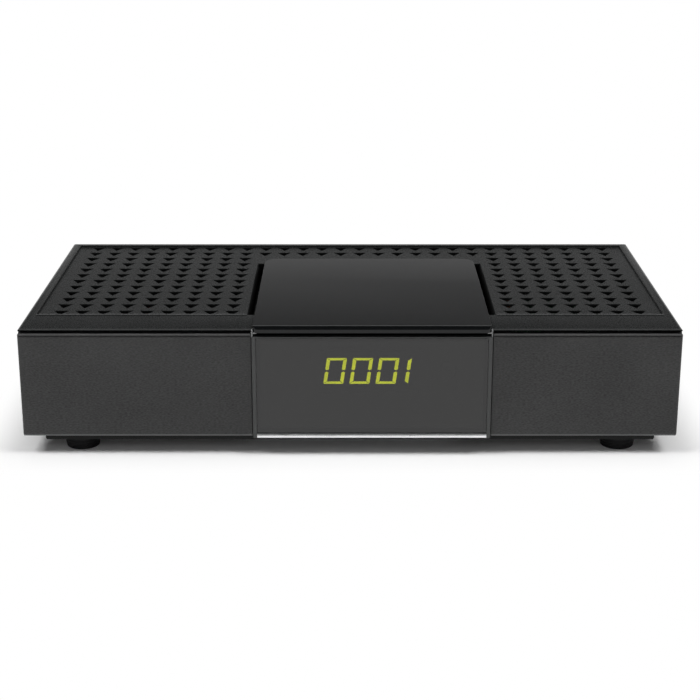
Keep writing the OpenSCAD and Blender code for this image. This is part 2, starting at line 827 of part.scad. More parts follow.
module case_screws() color(steel_colour) placed()
    for (x = [-case_post_x, case_post_x], v = case_post_v) translate([x, v, skirt_z]) screw(screw_l);

// Main board

module main_board() color(board_colour) placed() difference() {
    slab(board_x, board_w, board_v0, board_v1, board_z, board_top);
    for (x = standoff_x, v = standoff_v) bar_z(x, v, screw_r + fit_gap, board_z - over, board_top + over);
}

module board_screws() color(steel_colour) placed()
    for (x = standoff_x, v = standoff_v) translate([x, v, board_top]) mirror([0, 0, 1]) screw(small_screw_l);

module processor() color(chip_colour) placed() on_board(chip_x, chip_v, [chip_w, chip_w, chip_h]);

module heatsink() color("#9a9da1") placed() {
    v0 = board_v0 + chip_v - sink_w / 2;
    z0 = board_top + chip_h;
    fin_pitch = (sink_w - fin_t) / (sink_fins - 1);
    x = board_x0 + chip_x;
    slab(x, sink_w, v0, v0 + sink_w, z0, z0 + sink_base);
    for (i = [0:sink_fins - 1])
        slab(x + (i - (sink_fins - 1) / 2) * fin_pitch, fin_t, v0, v0 + sink_w, z0, z0 + sink_h);
}

module memory_chips() color(chip_colour) placed() for (v = memory_v) on_board(memory_x, v, memory_size);

module flash_chip() color(chip_colour) placed() on_board(flash_x, flash_v, flash_size);

module crystal() color(steel_colour) placed() translate([board_x0 + crystal_x, board_v0 + crystal_v])
    extrude_z(board_top, board_top + crystal_h)
        polygon(rounded(-crystal_w / 2, -crystal_l / 2, crystal_w / 2, crystal_l / 2, crystal_r));

module capacitors() color("#23262b") placed()
    for (c = can_caps) bar_z(board_x0 + c[0], board_v0 + c[1], c[2], board_top, board_top + c[3]);

module inductors() color("#3a3c3e") placed() for (c = coils) on_board(c[0], c[1], coil_size);

module power_chips() color(chip_colour) placed() for (r = regulators) on_board(r[0], r[1], regulator_size);

module chip_passives() color("#b79d72") placed() for (i = [0:passive_cols - 1], j = [0:passive_rows - 1])
    on_board(passive_x + i * passive_pitch, passive_v + j * passive_pitch, passive_size);

// Rear sockets

module tuner_can() color(steel_colour) placed() difference() {
    slab(can_x, can_w, can_v1 - can_l, can_v1, board_top, board_top + can_h);
    slab(can_x, can_w - 2 * can_t, can_v1 - can_l + can_t, can_v1 - can_t,
         board_top - over, board_top + can_h - can_t);
}

module tuner_chip() color(chip_colour) placed()
    on_board(can_x - board_x0, can_v1 - can_l / 2 - board_v0, tuner_size);

module antenna_in_socket() color(steel_colour) placed() {
    ring_y(antenna_in_x, antenna_z, in_r, in_bore_r, can_v1, coax_end);
    ring_y(antenna_in_x, antenna_z, coax_flange_r, in_bore_r, can_v1, can_v1 + coax_flange_t);
}

module antenna_in_contact() color("#c9a85a") placed()
    ring_y(antenna_in_x, antenna_z, contact_r, contact_bore_r, can_v1 + bead_l, can_v1 + bead_l + contact_l);

module antenna_out_plug() color(steel_colour) placed() {
    ring_y(antenna_out_x, antenna_z, out_r, out_bore_r, can_v1, coax_end);
    ring_y(antenna_out_x, antenna_z, in_r, out_bore_r, can_v1, rear_v1 + coax_gap);
    ring_y(antenna_out_x, antenna_z, coax_flange_r, out_bore_r, can_v1, can_v1 + coax_flange_t);
}

module antenna_out_pin() color("#c9a85a") placed() {
    bar_y(antenna_out_x, antenna_z, pin_r, can_v1 + bead_l, can_v1 + pin_l);
    translate([antenna_out_x, can_v1 + pin_l, antenna_z]) sphere(r = pin_r);
}

module antenna_insulators() color("#e9e6dc") placed() {
    bar_y(antenna_in_x, antenna_z, in_bore_r - snug, can_v1, can_v1 + bead_l);
    bar_y(antenna_out_x, antenna_z, out_bore_r - snug, can_v1, can_v1 + bead_l);
}

module audio_socket() color("#d9701c") placed() difference() {
    union() {
        slab(audio_x, audio_w, rear_v0 - audio_l, rear_v0, board_top, board_top + audio_h);
        bar_y(audio_x, audio_z, audio_boss_r, rear_v0 - over, rear_v0 + audio_boss_l);
    }
    bar_y(audio_x, audio_z, barrel_root_r + snug, barrel_root, barrel_v + over);
}

module audio_barrel() color(steel_colour) placed() {
    ring_y(audio_x, audio_z, barrel_root_r, barrel_bore_r, barrel_root, barrel_v + barrel_l);
    ring_y(audio_x, audio_z, barrel_r, barrel_bore_r, barrel_v, barrel_v + barrel_l);
}

module audio_insulator() color("#1b1b1c") placed()
    ring_y(audio_x, audio_z, barrel_bore_r - snug, phono_r, barrel_root, barrel_v + barrel_l - phono_in);

module usb_socket() color(steel_colour) placed() difference() {
    hw = usb_w - 2 * usb_t;
    hh = usb_h / 2 - usb_t;
    slab(usb_x, usb_w, socket_end - usb_l, socket_end, usb_z - usb_h / 2, usb_z + usb_h / 2);
    slab(usb_x, hw, socket_end - usb_l + socket_back, socket_end + over, usb_z - hh, usb_z + hh);
}

module usb_tongue() color("#f1f1ee") placed() {
    z = usb_z + usb_h / 2 - usb_t - usb_tongue_gap;
    slab(usb_x, usb_tongue_w, socket_end - usb_l + socket_back, socket_end - tongue_in, z - usb_tongue_t, z);
}

// The outline of the video socket has its lower corners cut off
module video_outline(inset) {
    hw = video_w / 2 - inset;
    hh = video_h / 2 - inset;
    half = [[video_w / 2 - video_cut, -hh], [hw, -video_h / 2 + video_cut], [hw, hh]];
    translate([video_x, video_z]) polygon(concat(half, mirrored(half)));
}

module video_socket() color(steel_colour) placed() difference() {
    extrude_y(socket_end - video_l, socket_end) video_outline(0);
    extrude_y(socket_end - video_l + socket_back, socket_end + over) video_outline(video_t);
}

module video_tongue() color("#141414") placed()
    slab(video_x, video_tongue_w, socket_end - video_l + socket_back, socket_end - tongue_in,
         video_z, video_z + video_tongue_t);

// The D-shaped outline of the socket, taken in by a distance on every side
module scart_outline(inset) {
    z0 = board_top + inset;
    z1 = board_top + scart_h - inset;
    x0 = scart_x - scart_w / 2 + inset;
    x1 = scart_x + scart_w / 2 - inset;
    polygon([[x0, z0], [x1, z0], [x1, z1 - scart_cut / 2], [x1 - scart_cut, z1], [x0, z1]]);
}

// A ring that lies against the outer wall of the socket's groove
module scart_ring(thick, end) difference() {
    extrude_y(socket_end - scart_groove_l, end) scart_outline(scart_rim);
    extrude_y(socket_end - scart_groove_l - over, end + over) scart_outline(scart_rim + thick);
}

module scart_socket() color("#17181a") placed() difference() {
    extrude_y(socket_end - scart_l, socket_end) scart_outline(0);
    scart_ring(scart_gap, socket_end + over);
    for (i = [0:scart_slots - 1], row = [-1, 1]) {
        x = scart_x - scart_shift + (i - (scart_slots - 1) / 2) * scart_pitch + row * scart_pitch / 4;
        z = board_top + scart_h / 2 + row * scart_row;
        slab(x, scart_slot_w, socket_end - scart_slot_l, socket_end + over,
             z - scart_slot_h / 2, z + scart_slot_h / 2);
    }
}

module scart_shield() color(steel_colour) placed() scart_ring(scart_shield_t, socket_end - scart_shield_in);

module dc_jack() color("#1b1b1d") placed() difference() {
    union() {
        slab(dc_x, dc_w, rear_v0 - dc_l, rear_v0, board_top, board_top + dc_h);
        bar_y(dc_x, dc_z, dc_nose_r, rear_v0 - over, socket_end);
    }
    bar_y(dc_x, dc_z, dc_bore_r, socket_end - dc_bore_l, socket_end + over);
}

module dc_pin() color(steel_colour) placed()
    bar_y(dc_x, dc_z, dc_pin_r, socket_end - dc_bore_l, socket_end - dc_bore_l + dc_pin_l);

// Power switch

// The switch is drawn about the rocker's pivot and then moved into the rear panel
module at_pivot() translate([switch_x, pivot_v, switch_z]) children();
module bar_x(r, half, v = 0, z = 0) translate([-half, v, z]) rotate([0, 90, 0]) cylinder(r = r, h = 2 * half);

module switch_body() color("#151517") placed() at_pivot() difference() {
    union() {
        slab(0, switch_flange_w, -switch_flange_t / 2, switch_flange_t / 2,
             -switch_flange_h / 2, switch_flange_h / 2);
        slab(0, switch_w, -switch_l, 0, -switch_h / 2, switch_h / 2);
    }
    bar_x(rocker_r + rocker_gap, rocker_w / 2 + rocker_side_gap);
    bar_x(trunnion_r + snug, switch_w / 2 + over);
    slab(0, chamber_w, -chamber_l, 0, -chamber_h / 2, chamber_h / 2);
    for (z = terminal_z) slab(0, terminal_w, -switch_l - over, -over, z - terminal_t / 2, z + terminal_t / 2);
}

// The rocker is a slice of a round bar whose face is two planes that meet in a shallow valley
module rocker_section() intersection() {
    tip = rocker_valley + rocker_r * tan(rocker_tilt);
    circle(r = rocker_r);
    polygon([[-rocker_back, -rocker_r], [tip, -rocker_r], [rocker_valley, 0],
             [tip, rocker_r], [-rocker_back, rocker_r]]);
}

module power_rocker() color("#1a1a1c") placed() at_pivot() rotate([rocker_tilt, 0, 0]) difference() {
    union() {
        extrude_x(-rocker_w / 2, rocker_w / 2) rocker_section();
        bar_x(trunnion_r, rocker_w / 2 + rocker_side_gap + trunnion_l);
        slab(0, stem_w, -stem_l, 0, -stem_w / 2, stem_w / 2);
    }
    bar_y(0, 0, plunger_r + snug, -stem_l - over, -stem_l + plunger_bore_l);
}

module switch_plunger() color(steel_colour) placed() at_pivot() rotate([rocker_tilt, 0, 0])
    bar_y(0, 0, plunger_r, -stem_l + plunger_bore_l - plunger_l, -stem_l + plunger_bore_l);

// The seesaw contact tilts the other way on a rounded fulcrum
module switch_contact() color("#c58a4a") placed() at_pivot()
    translate([0, -contact_at, 0]) rotate([-contact_tilt, 0, 0]) difference() {
        slab(0, contact_w, 0, contact_t, -contact_len / 2, contact_len / 2);
        bar_x(fulcrum_r + snug, contact_w);
    }

module switch_terminals() color("#c9b27a") placed() at_pivot() {
    w = terminal_w - 2 * snug;
    h = terminal_t / 2 - snug;
    end = [-contact_at, -fixed_at];
    for (i = [0, 1]) slab(0, w, -switch_l - terminal_out, end[i], terminal_z[i] - h, terminal_z[i] + h);
    bar_x(fulcrum_r, w / 2, -contact_at);
}

// Sweeps a round lead of 8 sides along points
function along(points, t) = let (n = len(points) - 1, i = min(floor(t), n - 1), f = t - i,
    p0 = points[max(i - 1, 0)], p1 = points[i], p2 = points[i + 1], p3 = points[min(i + 2, n)])
    p1 + 0.5 * f * ((p2 - p0) + f * (2 * p0 - 5 * p1 + 4 * p2 - p3) + f * f * (3 * p1 - p0 - 3 * p2 + p3));
module lead(points, r) {
    sides = 8;
    steps = 4;
    n = (len(points) - 1) * steps;
    path = [for (i = [0:n]) along(points, i / steps)];
    rings = [for (i = [0:n]) let (
        d = path[min(i + 1, n)] - path[max(i - 1, 0)], w = d / norm(d),
        u0 = cross(w, [0.5, 1, 0.6]), u = u0 / norm(u0), q = cross(w, u))
        [for (k = [0:sides - 1]) path[i] + r * (u * cos(360 * k / sides) + q * sin(360 * k / sides))]];
    points_all = [for (ring = rings, p = ring) p];
    walls = [for (i = [0:n - 1], k = [0:sides - 1]) let (a = i * sides + k, b = i * sides + (k + 1) % sides)
        each [[b, a, a + sides], [b + sides, b, a + sides]]];
    caps = [for (k = [1:sides - 2]) each [[0, k, k + 1], [n * sides, n * sides + k + 1, n * sides + k]]];
    polyhedron(points_all, concat(walls, caps));
}

module switch_leads() color("#7a1d1d") placed() {
    start_v = pivot_v - switch_l - terminal_out - lead_gap;
    end_z = board_top + header_size[2] + lead_gap;
    for (i = [0, 1]) {
        x1 = header_x + (i - 0.5) * lead_pitch;
        z0 = switch_z + terminal_z[i];
        lead([[switch_x, start_v, z0], [switch_x, start_v - lead_straight, z0],
              [switch_x + lead_side, start_v - lead_reach, z0 + lead_lift],
              [x1 - lead_drop, header_v - lead_drop, end_z + lead_bow],
              [x1, header_v, end_z + lead_drop], [x1, header_v, end_z]], lead_r);
    }
}

module switch_header() color("#eeece4") placed()
    translate([header_x - header_size[0] / 2, header_v - header_size[1] / 2, board_top]) cube(header_size);

// Display

module display_board() color(board_colour) placed() difference() {
    slab(display_x, display_w, display_v, display_v + display_t, display_z0, display_z0 + display_h);
    for (x = display_post_x)
        bar_y(x, display_post_z, screw_r + fit_gap, display_v - over, display_v + display_t + over);
}

module led_display() color("#1c1d1f") placed()
    slab(digit_x, led_w, led_v, display_v, digit_z - led_h / 2, digit_z + led_h / 2);

// One digit's bars: top, upper right, lower right, bottom, lower left, upper left
// A one has only its right-hand bars, and stands closer to the digit before it
function bars_of(digit) = digit == 1 ? [1, 2] : [0, 1, 2, 3, 4, 5];
module bar_outline(k) {
    w = digit_w / 2;
    h = digit_h / 2;
    lying = k == 0 || k == 3;
    outline = lying
        ? [[-w + bar_gap, h], [w - bar_gap, h],
           [w - bar_gap - bar_w, h - bar_h], [-w + bar_gap + bar_w, h - bar_h]]
        : [[w, h - bar_gap], [w, bar_mid_gap + bar_tip], [w - bar_w / 2, bar_mid_gap],
           [w - bar_w, bar_mid_gap + bar_tip], [w - bar_w, h - bar_h - bar_gap]];
    across = k > 3 ? -1 : 1;
    up = k > 1 && k < 5 ? -1 : 1;
    polygon([for (p = outline) [across * p[0], up * p[1]]]);
}

module led_segments() color(lit_colour) placed() extrude_y(led_v - lit_t, led_v)
    for (i = [0:digit_count - 1], k = bars_of(shown[i])) {
        x = digit_x + (i - (digit_count - 1) / 2) * digit_pitch - (shown[i] == 1 ? one_in : 0);
        translate([x, digit_z])
            multmatrix([[1, tan(digit_lean), 0, 0], [0, 1, 0, 0], [0, 0, 1, 0], [0, 0, 0, 1]]) bar_outline(k);
    }

module ir_receiver() color("#201a22") placed() {
    slab(ir_x, ir_w, display_v - ir_d, display_v, digit_z - ir_h / 2, digit_z + ir_h / 2);
    translate([ir_x, display_v - ir_d, digit_z]) intersection() {
        sphere(r = ir_r);
        slab(0, 2 * ir_r, -ir_r, 0, -ir_r, ir_r);
    }
}

module display_screws() color(steel_colour) placed() for (x = display_post_x)
    translate([x, display_v + display_t, display_post_z]) rotate([90, 0, 0])
        screw(small_screw_l - screw_tip_gap);

module display_socket() color("#eeece4") placed()
    slab(ribbon_x, ribbon_socket_w, display_v + display_t, display_v + display_t + ribbon_socket_h,
         display_socket_z, display_socket_z + ribbon_socket_l);

module board_socket() color("#eeece4") placed()
    slab(ribbon_x, ribbon_socket_w, ribbon_v, ribbon_v + ribbon_socket_l,
         board_top, board_top + ribbon_socket_h);

// The ribbon drops from the display's socket and turns back into the main board's socket
module display_ribbon() color("#d8dade") placed() {
    v0 = display_v + display_t + ribbon_socket_h / 2;
    z1 = board_top + ribbon_socket_h / 2;
    h = ribbon_t / 2;
    r = display_socket_z - z1;
    extrude_x(ribbon_x - ribbon_w / 2, ribbon_x + ribbon_w / 2) polygon(concat(
        arc(v0 + r, display_socket_z, r + h, 180, 270), [[ribbon_v, z1 - h], [ribbon_v, z1 + h]],
        arc(v0 + r, display_socket_z, r - h, 270, 180)));
}

bottom_tray();
top_cover();
front_panel();
center_bezel();
display_window();
top_fascia();
trim_strip();
rear_panel();
rubber_foot(-foot_x, foot_v[0]);  // foot_front_left
rubber_foot(foot_x, foot_v[0]);  // foot_front_right
rubber_foot(-foot_x, foot_v[1]);  // foot_rear_left
rubber_foot(foot_x, foot_v[1]);  // foot_rear_right
case_screws();
main_board();
board_screws();
processor();
heatsink();
memory_chips();
flash_chip();
crystal();
capacitors();
inductors();
power_chips();
chip_passives();
tuner_can();
tuner_chip();
antenna_in_socket();
antenna_in_contact();
antenna_out_plug();
antenna_out_pin();
antenna_insulators();
audio_socket();
audio_barrel();
audio_insulator();
usb_socket();
usb_tongue();
video_socket();
video_tongue();
scart_socket();
scart_shield();
dc_jack();
dc_pin();
switch_body();
power_rocker();
switch_plunger();
switch_contact();
switch_terminals();
switch_leads();
switch_header();
display_board();
led_display();
led_segments();
ir_receiver();
display_screws();
display_socket();
board_socket();
display_ribbon();
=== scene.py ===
# Cable television receiver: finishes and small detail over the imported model, in a plain studio.
import json
import math

import bmesh
import bpy
import numpy as np
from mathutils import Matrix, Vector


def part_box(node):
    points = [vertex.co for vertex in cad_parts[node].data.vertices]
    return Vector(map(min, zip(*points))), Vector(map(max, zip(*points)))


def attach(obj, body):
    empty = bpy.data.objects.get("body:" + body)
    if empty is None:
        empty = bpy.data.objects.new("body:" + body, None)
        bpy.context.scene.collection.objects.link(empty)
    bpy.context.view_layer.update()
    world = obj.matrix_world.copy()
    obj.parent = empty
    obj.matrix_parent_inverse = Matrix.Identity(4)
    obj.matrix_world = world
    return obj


mm = 0.001
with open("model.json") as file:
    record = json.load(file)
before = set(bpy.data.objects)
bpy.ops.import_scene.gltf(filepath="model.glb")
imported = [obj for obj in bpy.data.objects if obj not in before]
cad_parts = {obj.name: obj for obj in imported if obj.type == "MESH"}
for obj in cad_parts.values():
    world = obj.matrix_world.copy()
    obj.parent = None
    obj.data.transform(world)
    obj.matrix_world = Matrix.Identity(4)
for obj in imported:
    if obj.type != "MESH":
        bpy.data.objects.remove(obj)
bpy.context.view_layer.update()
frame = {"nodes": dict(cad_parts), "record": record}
nodes = frame["nodes"]
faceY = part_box("front_panel")[0][1]  # the plane of the front panel's face
print("frame loaded:", len(nodes), "nodes")


# Camera, at the photograph's angle and distance
view = {"back": 500, "height": 200.1, "pitch": 18.07, "lens": 81.8, "sensor": 36, "clip": 10}
camera = bpy.data.objects.new("camera", bpy.data.cameras.new("camera"))
bpy.context.scene.collection.objects.link(camera)
camera.data.lens = view["lens"]
camera.data.sensor_width = view["sensor"]
camera.data.clip_start = view["clip"] * mm
camera.location = (0, faceY - view["back"] * mm, view["height"] * mm)
camera.rotation_euler = (math.radians(90 - view["pitch"]), 0, 0)
bpy.context.scene.camera = camera
print("camera placed")


# Node helpers
def linear(hexColour, gain=1.0):
    # sRGB hex to linear light, with an alpha of one
    c = np.array([int(hexColour[i:i + 2], 16) for i in (1, 3, 5)]) / 255
    c = np.where(c <= 0.04045, c / 12.92, ((c + 0.055) / 1.055) ** 2.4) * gain
    return (*c.tolist(), 1.0)


def addNode(tree, kind, inputs=None, **settings):
    # One node with its settings; an input is a plain value, or a (node, output) pair to link from
    node = tree.nodes.new(kind)
    for name, value in settings.items():
        setattr(node, name, value)
    for name, value in (inputs or {}).items():
        if isinstance(value, tuple) and hasattr(value[0], "outputs"):
            tree.links.new(value[0].outputs[value[1]], node.inputs[name])
        else:
            node.inputs[name].default_value = value
    return node


def newMaterial(name, shader):
    # A material whose tree has Object coordinates, the shader asked for and an output
    material = bpy.data.materials.new(name)
    material.use_nodes = True
    tree = material.node_tree
    tree.nodes.clear()
    place = addNode(tree, "ShaderNodeTexCoord")
    surface = addNode(tree, "ShaderNodeBsdfPrincipled", shader)
    addNode(tree, "ShaderNodeOutputMaterial", {"Surface": (surface, "BSDF")})
    return material, tree, place, surface


def wire(tree, surface, links):
    for socket, (node, output) in links.items():
        tree.links.new(node.outputs[output], surface.inputs[socket])


def lumps(tree, place, size, detail=2.0, stretch=(1, 1, 1)):
    # Noise with lumps about size millimetres wide, drawn out along an axis by stretch
    scale = [1 / (size * mm * s) for s in stretch]
    mapped = addNode(tree, "ShaderNodeMapping", {"Vector": (place, "Object"), "Scale": scale})
    return addNode(tree, "ShaderNodeTexNoise", {"Vector": (mapped, 0), "Scale": 1.0, "Detail": detail})


def waveScale(pitch):
    # The scale at which a wave texture's bands stand pitch millimetres apart
    return 2 * math.pi / (20 * pitch * mm)


middle = {"From Min": 0.3, "From Max": 0.7}  # where most of a noise's values lie


def mottle(tree, source, colour, low, high, reach=middle):
    # Paint that wanders between two gains of a colour, as a pattern does over its reach
    factor = addNode(tree, "ShaderNodeMapRange", {"Value": source, **reach})
    return addNode(tree, "ShaderNodeMix", {
        "Factor": (factor, 0), "A": linear(colour, low), "B": linear(colour, high)}, data_type="RGBA")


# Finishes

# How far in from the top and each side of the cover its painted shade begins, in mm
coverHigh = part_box("top_cover")[1]
insideShade = {"under": 0.75, "fade": 1.5, "side": 0.5, "front": 2.6, "rear": 1.3}


def paintedInsideShade(tree, place):
    # One on the cover's hole walls and inside faces, which are painted near black as shade, and nought
    # outside
    axes = addNode(tree, "ShaderNodeSeparateXYZ", {0: (place, "Object")})
    across = addNode(tree, "ShaderNodeMath", {0: (axes, "X")}, operation="ABSOLUTE")
    inside = addNode(tree, "ShaderNodeMapRange", {
        "Value": (axes, "Z"), "From Min": coverHigh.z - insideShade["under"] * mm,
        "From Max": coverHigh.z - insideShade["fade"] * mm})
    for operation, node, output, limit in (
            ("LESS_THAN", across, 0, coverHigh.x - insideShade["side"] * mm),
            ("GREATER_THAN", axes, "Y", faceY + insideShade["front"] * mm),
            ("LESS_THAN", axes, "Y", coverHigh.y - insideShade["rear"] * mm)):
        test = addNode(tree, "ShaderNodeMath", {0: (node, output), 1: limit}, operation=operation)
        inside = addNode(tree, "ShaderNodeMath", {0: (inside, 0), 1: (test, 0)}, operation="MULTIPLY")
    return inside


# Where pale lines are painted along edges as highlights: the cover's lip and rib, the front's two long
# edges, the fascia's nose.
# Each run has a strength, then ramps of an axis, a plane on it, and where the ramp starts and ends in mm
highlightTone = "#6a6b6b"
frontLow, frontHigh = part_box("front_panel")
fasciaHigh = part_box("top_fascia")[1]
coverRuns = [(0.3, ("Y", faceY, 1.1, 0.8), ("Z", coverHigh.z, -0.5, -0.3)),
             (0.8, ("Z", coverHigh.z, -0.16, -0.06))]
frontRuns = [(0.22, ("Z", frontHigh.z, -0.45, -0.3), ("Y", faceY, 0.4, 0.2)),
             (0.85, ("Z", frontLow.z, 0.8, 0.4))]
noseRuns = [(0.35, ("Z", fasciaHigh.z, -0.46, -0.34), ("Y", faceY, 1.15, 0.95))]


def paintedHighlight(tree, place, runs):
    # How strongly each place takes the painted highlight: a run multiplies its strength and its ramps, and
    # the strongest run holds
    axes = addNode(tree, "ShaderNodeSeparateXYZ", {0: (place, "Object")})
    strongest = None
    for strength, *ramps in runs:
        edgeHighlight = None
        for axis, plane, start, end in ramps:
            ramp = addNode(tree, "ShaderNodeMapRange", {
                "Value": (axes, axis), "From Min": plane + start * mm, "From Max": plane + end * mm})
            factor = (edgeHighlight, 0) if edgeHighlight else strength
            edgeHighlight = addNode(tree, "ShaderNodeMath", {0: factor, 1: (ramp, 0)}, operation="MULTIPLY")
        strongest = edgeHighlight if strongest is None else addNode(
            tree, "ShaderNodeMath", {0: (strongest, 0), 1: (edgeHighlight, 0)}, operation="MAXIMUM")
    return strongest


# The slow drift of a moulding's tone, how far its sheen varies, and how much rougher the faces under
# painted shade are
moulding = {"drift": 26, "weight": 0.3, "reach": {"From Min": 0.25, "From Max": 1.05},
            "vary": 0.06, "insideShade": 0.35}


def mouldedPlastic(name, colour, grain, depth, roughness, shade=0.1, specular=0.5,
                   shadeColour=None, runs=None, stretch=1):
    # ABS from an etched mould: a fine pebble breaks the sheen up, and the tone wanders a little
    material, tree, place, surface = newMaterial(name, {"IOR": 1.5, "Specular IOR Level": specular})
    pebble = lumps(tree, place, grain, 3.0, (stretch, 1, 1))
    cloud = lumps(tree, place, moulding["drift"])
    tone = addNode(tree, "ShaderNodeMath", {
        0: (cloud, "Fac"), 1: moulding["weight"], 2: (pebble, "Fac")}, operation="MULTIPLY_ADD")
    paint = mottle(tree, (tone, 0), colour, 1 - shade, 1 + shade, moulding["reach"])
    sheen = addNode(tree, "ShaderNodeMapRange", {
        "Value": (pebble, "Fac"), **middle, "To Min": roughness - moulding["vary"],
        "To Max": roughness + moulding["vary"]})
    # Hole walls and inside faces of the cover take a near-black colour: painted shade
    if shadeColour:
        inside = paintedInsideShade(tree, place)
        paint = addNode(tree, "ShaderNodeMix", {
            "Factor": (inside, 0), "A": (paint, 2), "B": linear(shadeColour)}, data_type="RGBA")
        sheen = addNode(tree, "ShaderNodeMath", {
            0: (inside, 0), 1: moulding["insideShade"], 2: (sheen, 0)}, operation="MULTIPLY_ADD")
    # Pale painted highlight along the edges that the runs name
    if runs:
        edgeHighlight = paintedHighlight(tree, place, runs)
        paint = addNode(tree, "ShaderNodeMix", {
            "Factor": (edgeHighlight, 0), "A": (paint, 2), "B": linear(highlightTone)}, data_type="RGBA")
    bump = addNode(tree, "ShaderNodeBump", {
        "Height": (pebble, "Fac"), "Strength": 1.0, "Distance": depth * mm})
    wire(tree, surface, {"Base Color": (paint, 2), "Roughness": (sheen, 0), "Normal": (bump, 0)})
    return material


# A gloss moulding's slow wave and fine marks in mm, and what marks and the painted edge highlight add to
# its roughness
gloss = {"wave": 18, "marks": 0.35, "vary": 0.05, "edgeHighlight": 0.3}


def polishedPlastic(name, colour, roughness, wave=0.0, specular=0.5, runs=None):
    # Gloss moulding: a faint slow wave bends reflections, and fine handling marks vary the gloss
    material, tree, place, surface = newMaterial(name, {"IOR": 1.5, "Specular IOR Level": specular})
    swell = lumps(tree, place, gloss["wave"], 1.0)
    marks = lumps(tree, place, gloss["marks"], 4.0, (6, 1, 1))
    paint = mottle(tree, (marks, "Fac"), colour, 0.92, 1.08)
    sheen = addNode(tree, "ShaderNodeMapRange", {
        "Value": (marks, "Fac"), **middle, "To Min": roughness, "To Max": roughness + gloss["vary"]})
    # Pale painted highlight along the edges that the runs name
    if runs:
        edgeHighlight = paintedHighlight(tree, place, runs)
        paint = addNode(tree, "ShaderNodeMix", {
            "Factor": (edgeHighlight, 0), "A": (paint, 2), "B": linear(highlightTone)}, data_type="RGBA")
        sheen = addNode(tree, "ShaderNodeMath", {
            0: (edgeHighlight, 0), 1: gloss["edgeHighlight"], 2: (sheen, 0)}, operation="MULTIPLY_ADD")
    bump = addNode(tree, "ShaderNodeBump", {
        "Height": (swell, "Fac"), "Strength": 1.0, "Distance": wave * mm})
    wire(tree, surface, {"Base Color": (paint, 2), "Roughness": (sheen, 0), "Normal": (bump, 0)})
    return material


def smokedAcrylic(name, colour):
    # Tinted clear sheet: the lit digits come through, the rest stays dark under the floor's reflection
    material, tree, place, surface = newMaterial(name, {"IOR": 1.6, "Transmission Weight": 1.0})
    marks = lumps(tree, place, 0.5, 3.0, (5, 1, 1))
    paint = mottle(tree, (marks, "Fac"), colour, 0.97, 1.03)
    sheen = addNode(tree, "ShaderNodeMapRange", {
        "Value": (marks, "Fac"), **middle, "To Min": 0.02, "To Max": 0.06})
    wire(tree, surface, {"Base Color": (paint, 2), "Roughness": (sheen, 0)})
    return material


def brushedMetal(name, colour, roughness, grain=(40, 1, 1), size=0.12, depth=0.004, shade=0.08):
    # Plated or rolled metal: hairlines along one axis spread the highlight across them
    material, tree, place, surface = newMaterial(name, {"Metallic": 1.0})
    lines = lumps(tree, place, size, 2.0, grain)
    cloud = lumps(tree, place, 6)
    paint = mottle(tree, (cloud, "Fac"), colour, 1 - shade, 1 + shade)
    sheen = addNode(tree, "ShaderNodeMapRange", {
        "Value": (lines, "Fac"), **middle, "To Min": roughness - 0.06, "To Max": roughness + 0.08})
    bump = addNode(tree, "ShaderNodeBump", {
        "Height": (lines, "Fac"), "Strength": 1.0, "Distance": depth * mm})
    wire(tree, surface, {"Base Color": (paint, 2), "Roughness": (sheen, 0), "Normal": (bump, 0)})
    return material


def ribbedRubber(name, colour, pitch, depth):
    # Moulded rubber feet: fine rings around the side and a dusty, uneven black
    material, tree, place, surface = newMaterial(name, {"Specular IOR Level": 0.2})
    dust = lumps(tree, place, 1.2, 4.0)
    rings = addNode(tree, "ShaderNodeTexWave", {
        "Vector": (place, "Object"), "Scale": waveScale(pitch)}, bands_direction="Z")
    paint = mottle(tree, (dust, "Fac"), colour, 0.8, 1.3)
    sheen = addNode(tree, "ShaderNodeMapRange", {
        "Value": (dust, "Fac"), **middle, "To Min": 0.65, "To Max": 0.85})
    bump = addNode(tree, "ShaderNodeBump", {
        "Height": (rings, "Fac"), "Strength": 1.0, "Distance": depth * mm})
    wire(tree, surface, {"Base Color": (paint, 2), "Roughness": (sheen, 0), "Normal": (bump, 0)})
    return material


# The chances at which a block's tracks turn or are left out, where a band is track, and the track's height
tracks = {"turn": 0.5, "empty": 0.3, "edge": 0.55, "height": 0.03}


def solderMask(name, mask, track, pitch, block):
    # Green lacquer over copper: raised tracks show paler, and run across or along in blocks
    material, tree, place, surface = newMaterial(name, {"IOR": 1.5, "Roughness": 0.32})
    cells = addNode(tree, "ShaderNodeTexVoronoi", {
        "Vector": (place, "Object"), "Scale": 1 / (block * mm)}, distance="CHEBYCHEV")
    chance = addNode(tree, "ShaderNodeSeparateColor", {0: (cells, "Color")})
    turn = addNode(tree, "ShaderNodeMath", {0: (chance, 0), 1: tracks["turn"]}, operation="GREATER_THAN")
    overX, overY = (addNode(tree, "ShaderNodeTexWave", {
        "Vector": (place, "Object"), "Scale": waveScale(pitch)}, bands_direction=axis) for axis in "XY")
    lines = addNode(tree, "ShaderNodeMix", {
        "Factor": (turn, 0), "A": (overX, "Fac"), "B": (overY, "Fac")})
    raised = addNode(tree, "ShaderNodeMath", {0: (lines, 0), 1: tracks["edge"]}, operation="GREATER_THAN")
    filled = addNode(tree, "ShaderNodeMath", {0: (chance, 1), 1: tracks["empty"]}, operation="GREATER_THAN")
    copper = addNode(tree, "ShaderNodeMath", {0: (raised, 0), 1: (filled, 0)}, operation="MULTIPLY")
    paint = addNode(tree, "ShaderNodeMix", {
        "Factor": (copper, 0), "A": linear(mask), "B": linear(track)}, data_type="RGBA")
    bump = addNode(tree, "ShaderNodeBump", {
        "Height": (copper, 0), "Strength": 1.0, "Distance": tracks["height"] * mm})
    wire(tree, surface, {"Base Color": (paint, 2), "Normal": (bump, 0)})
    return material


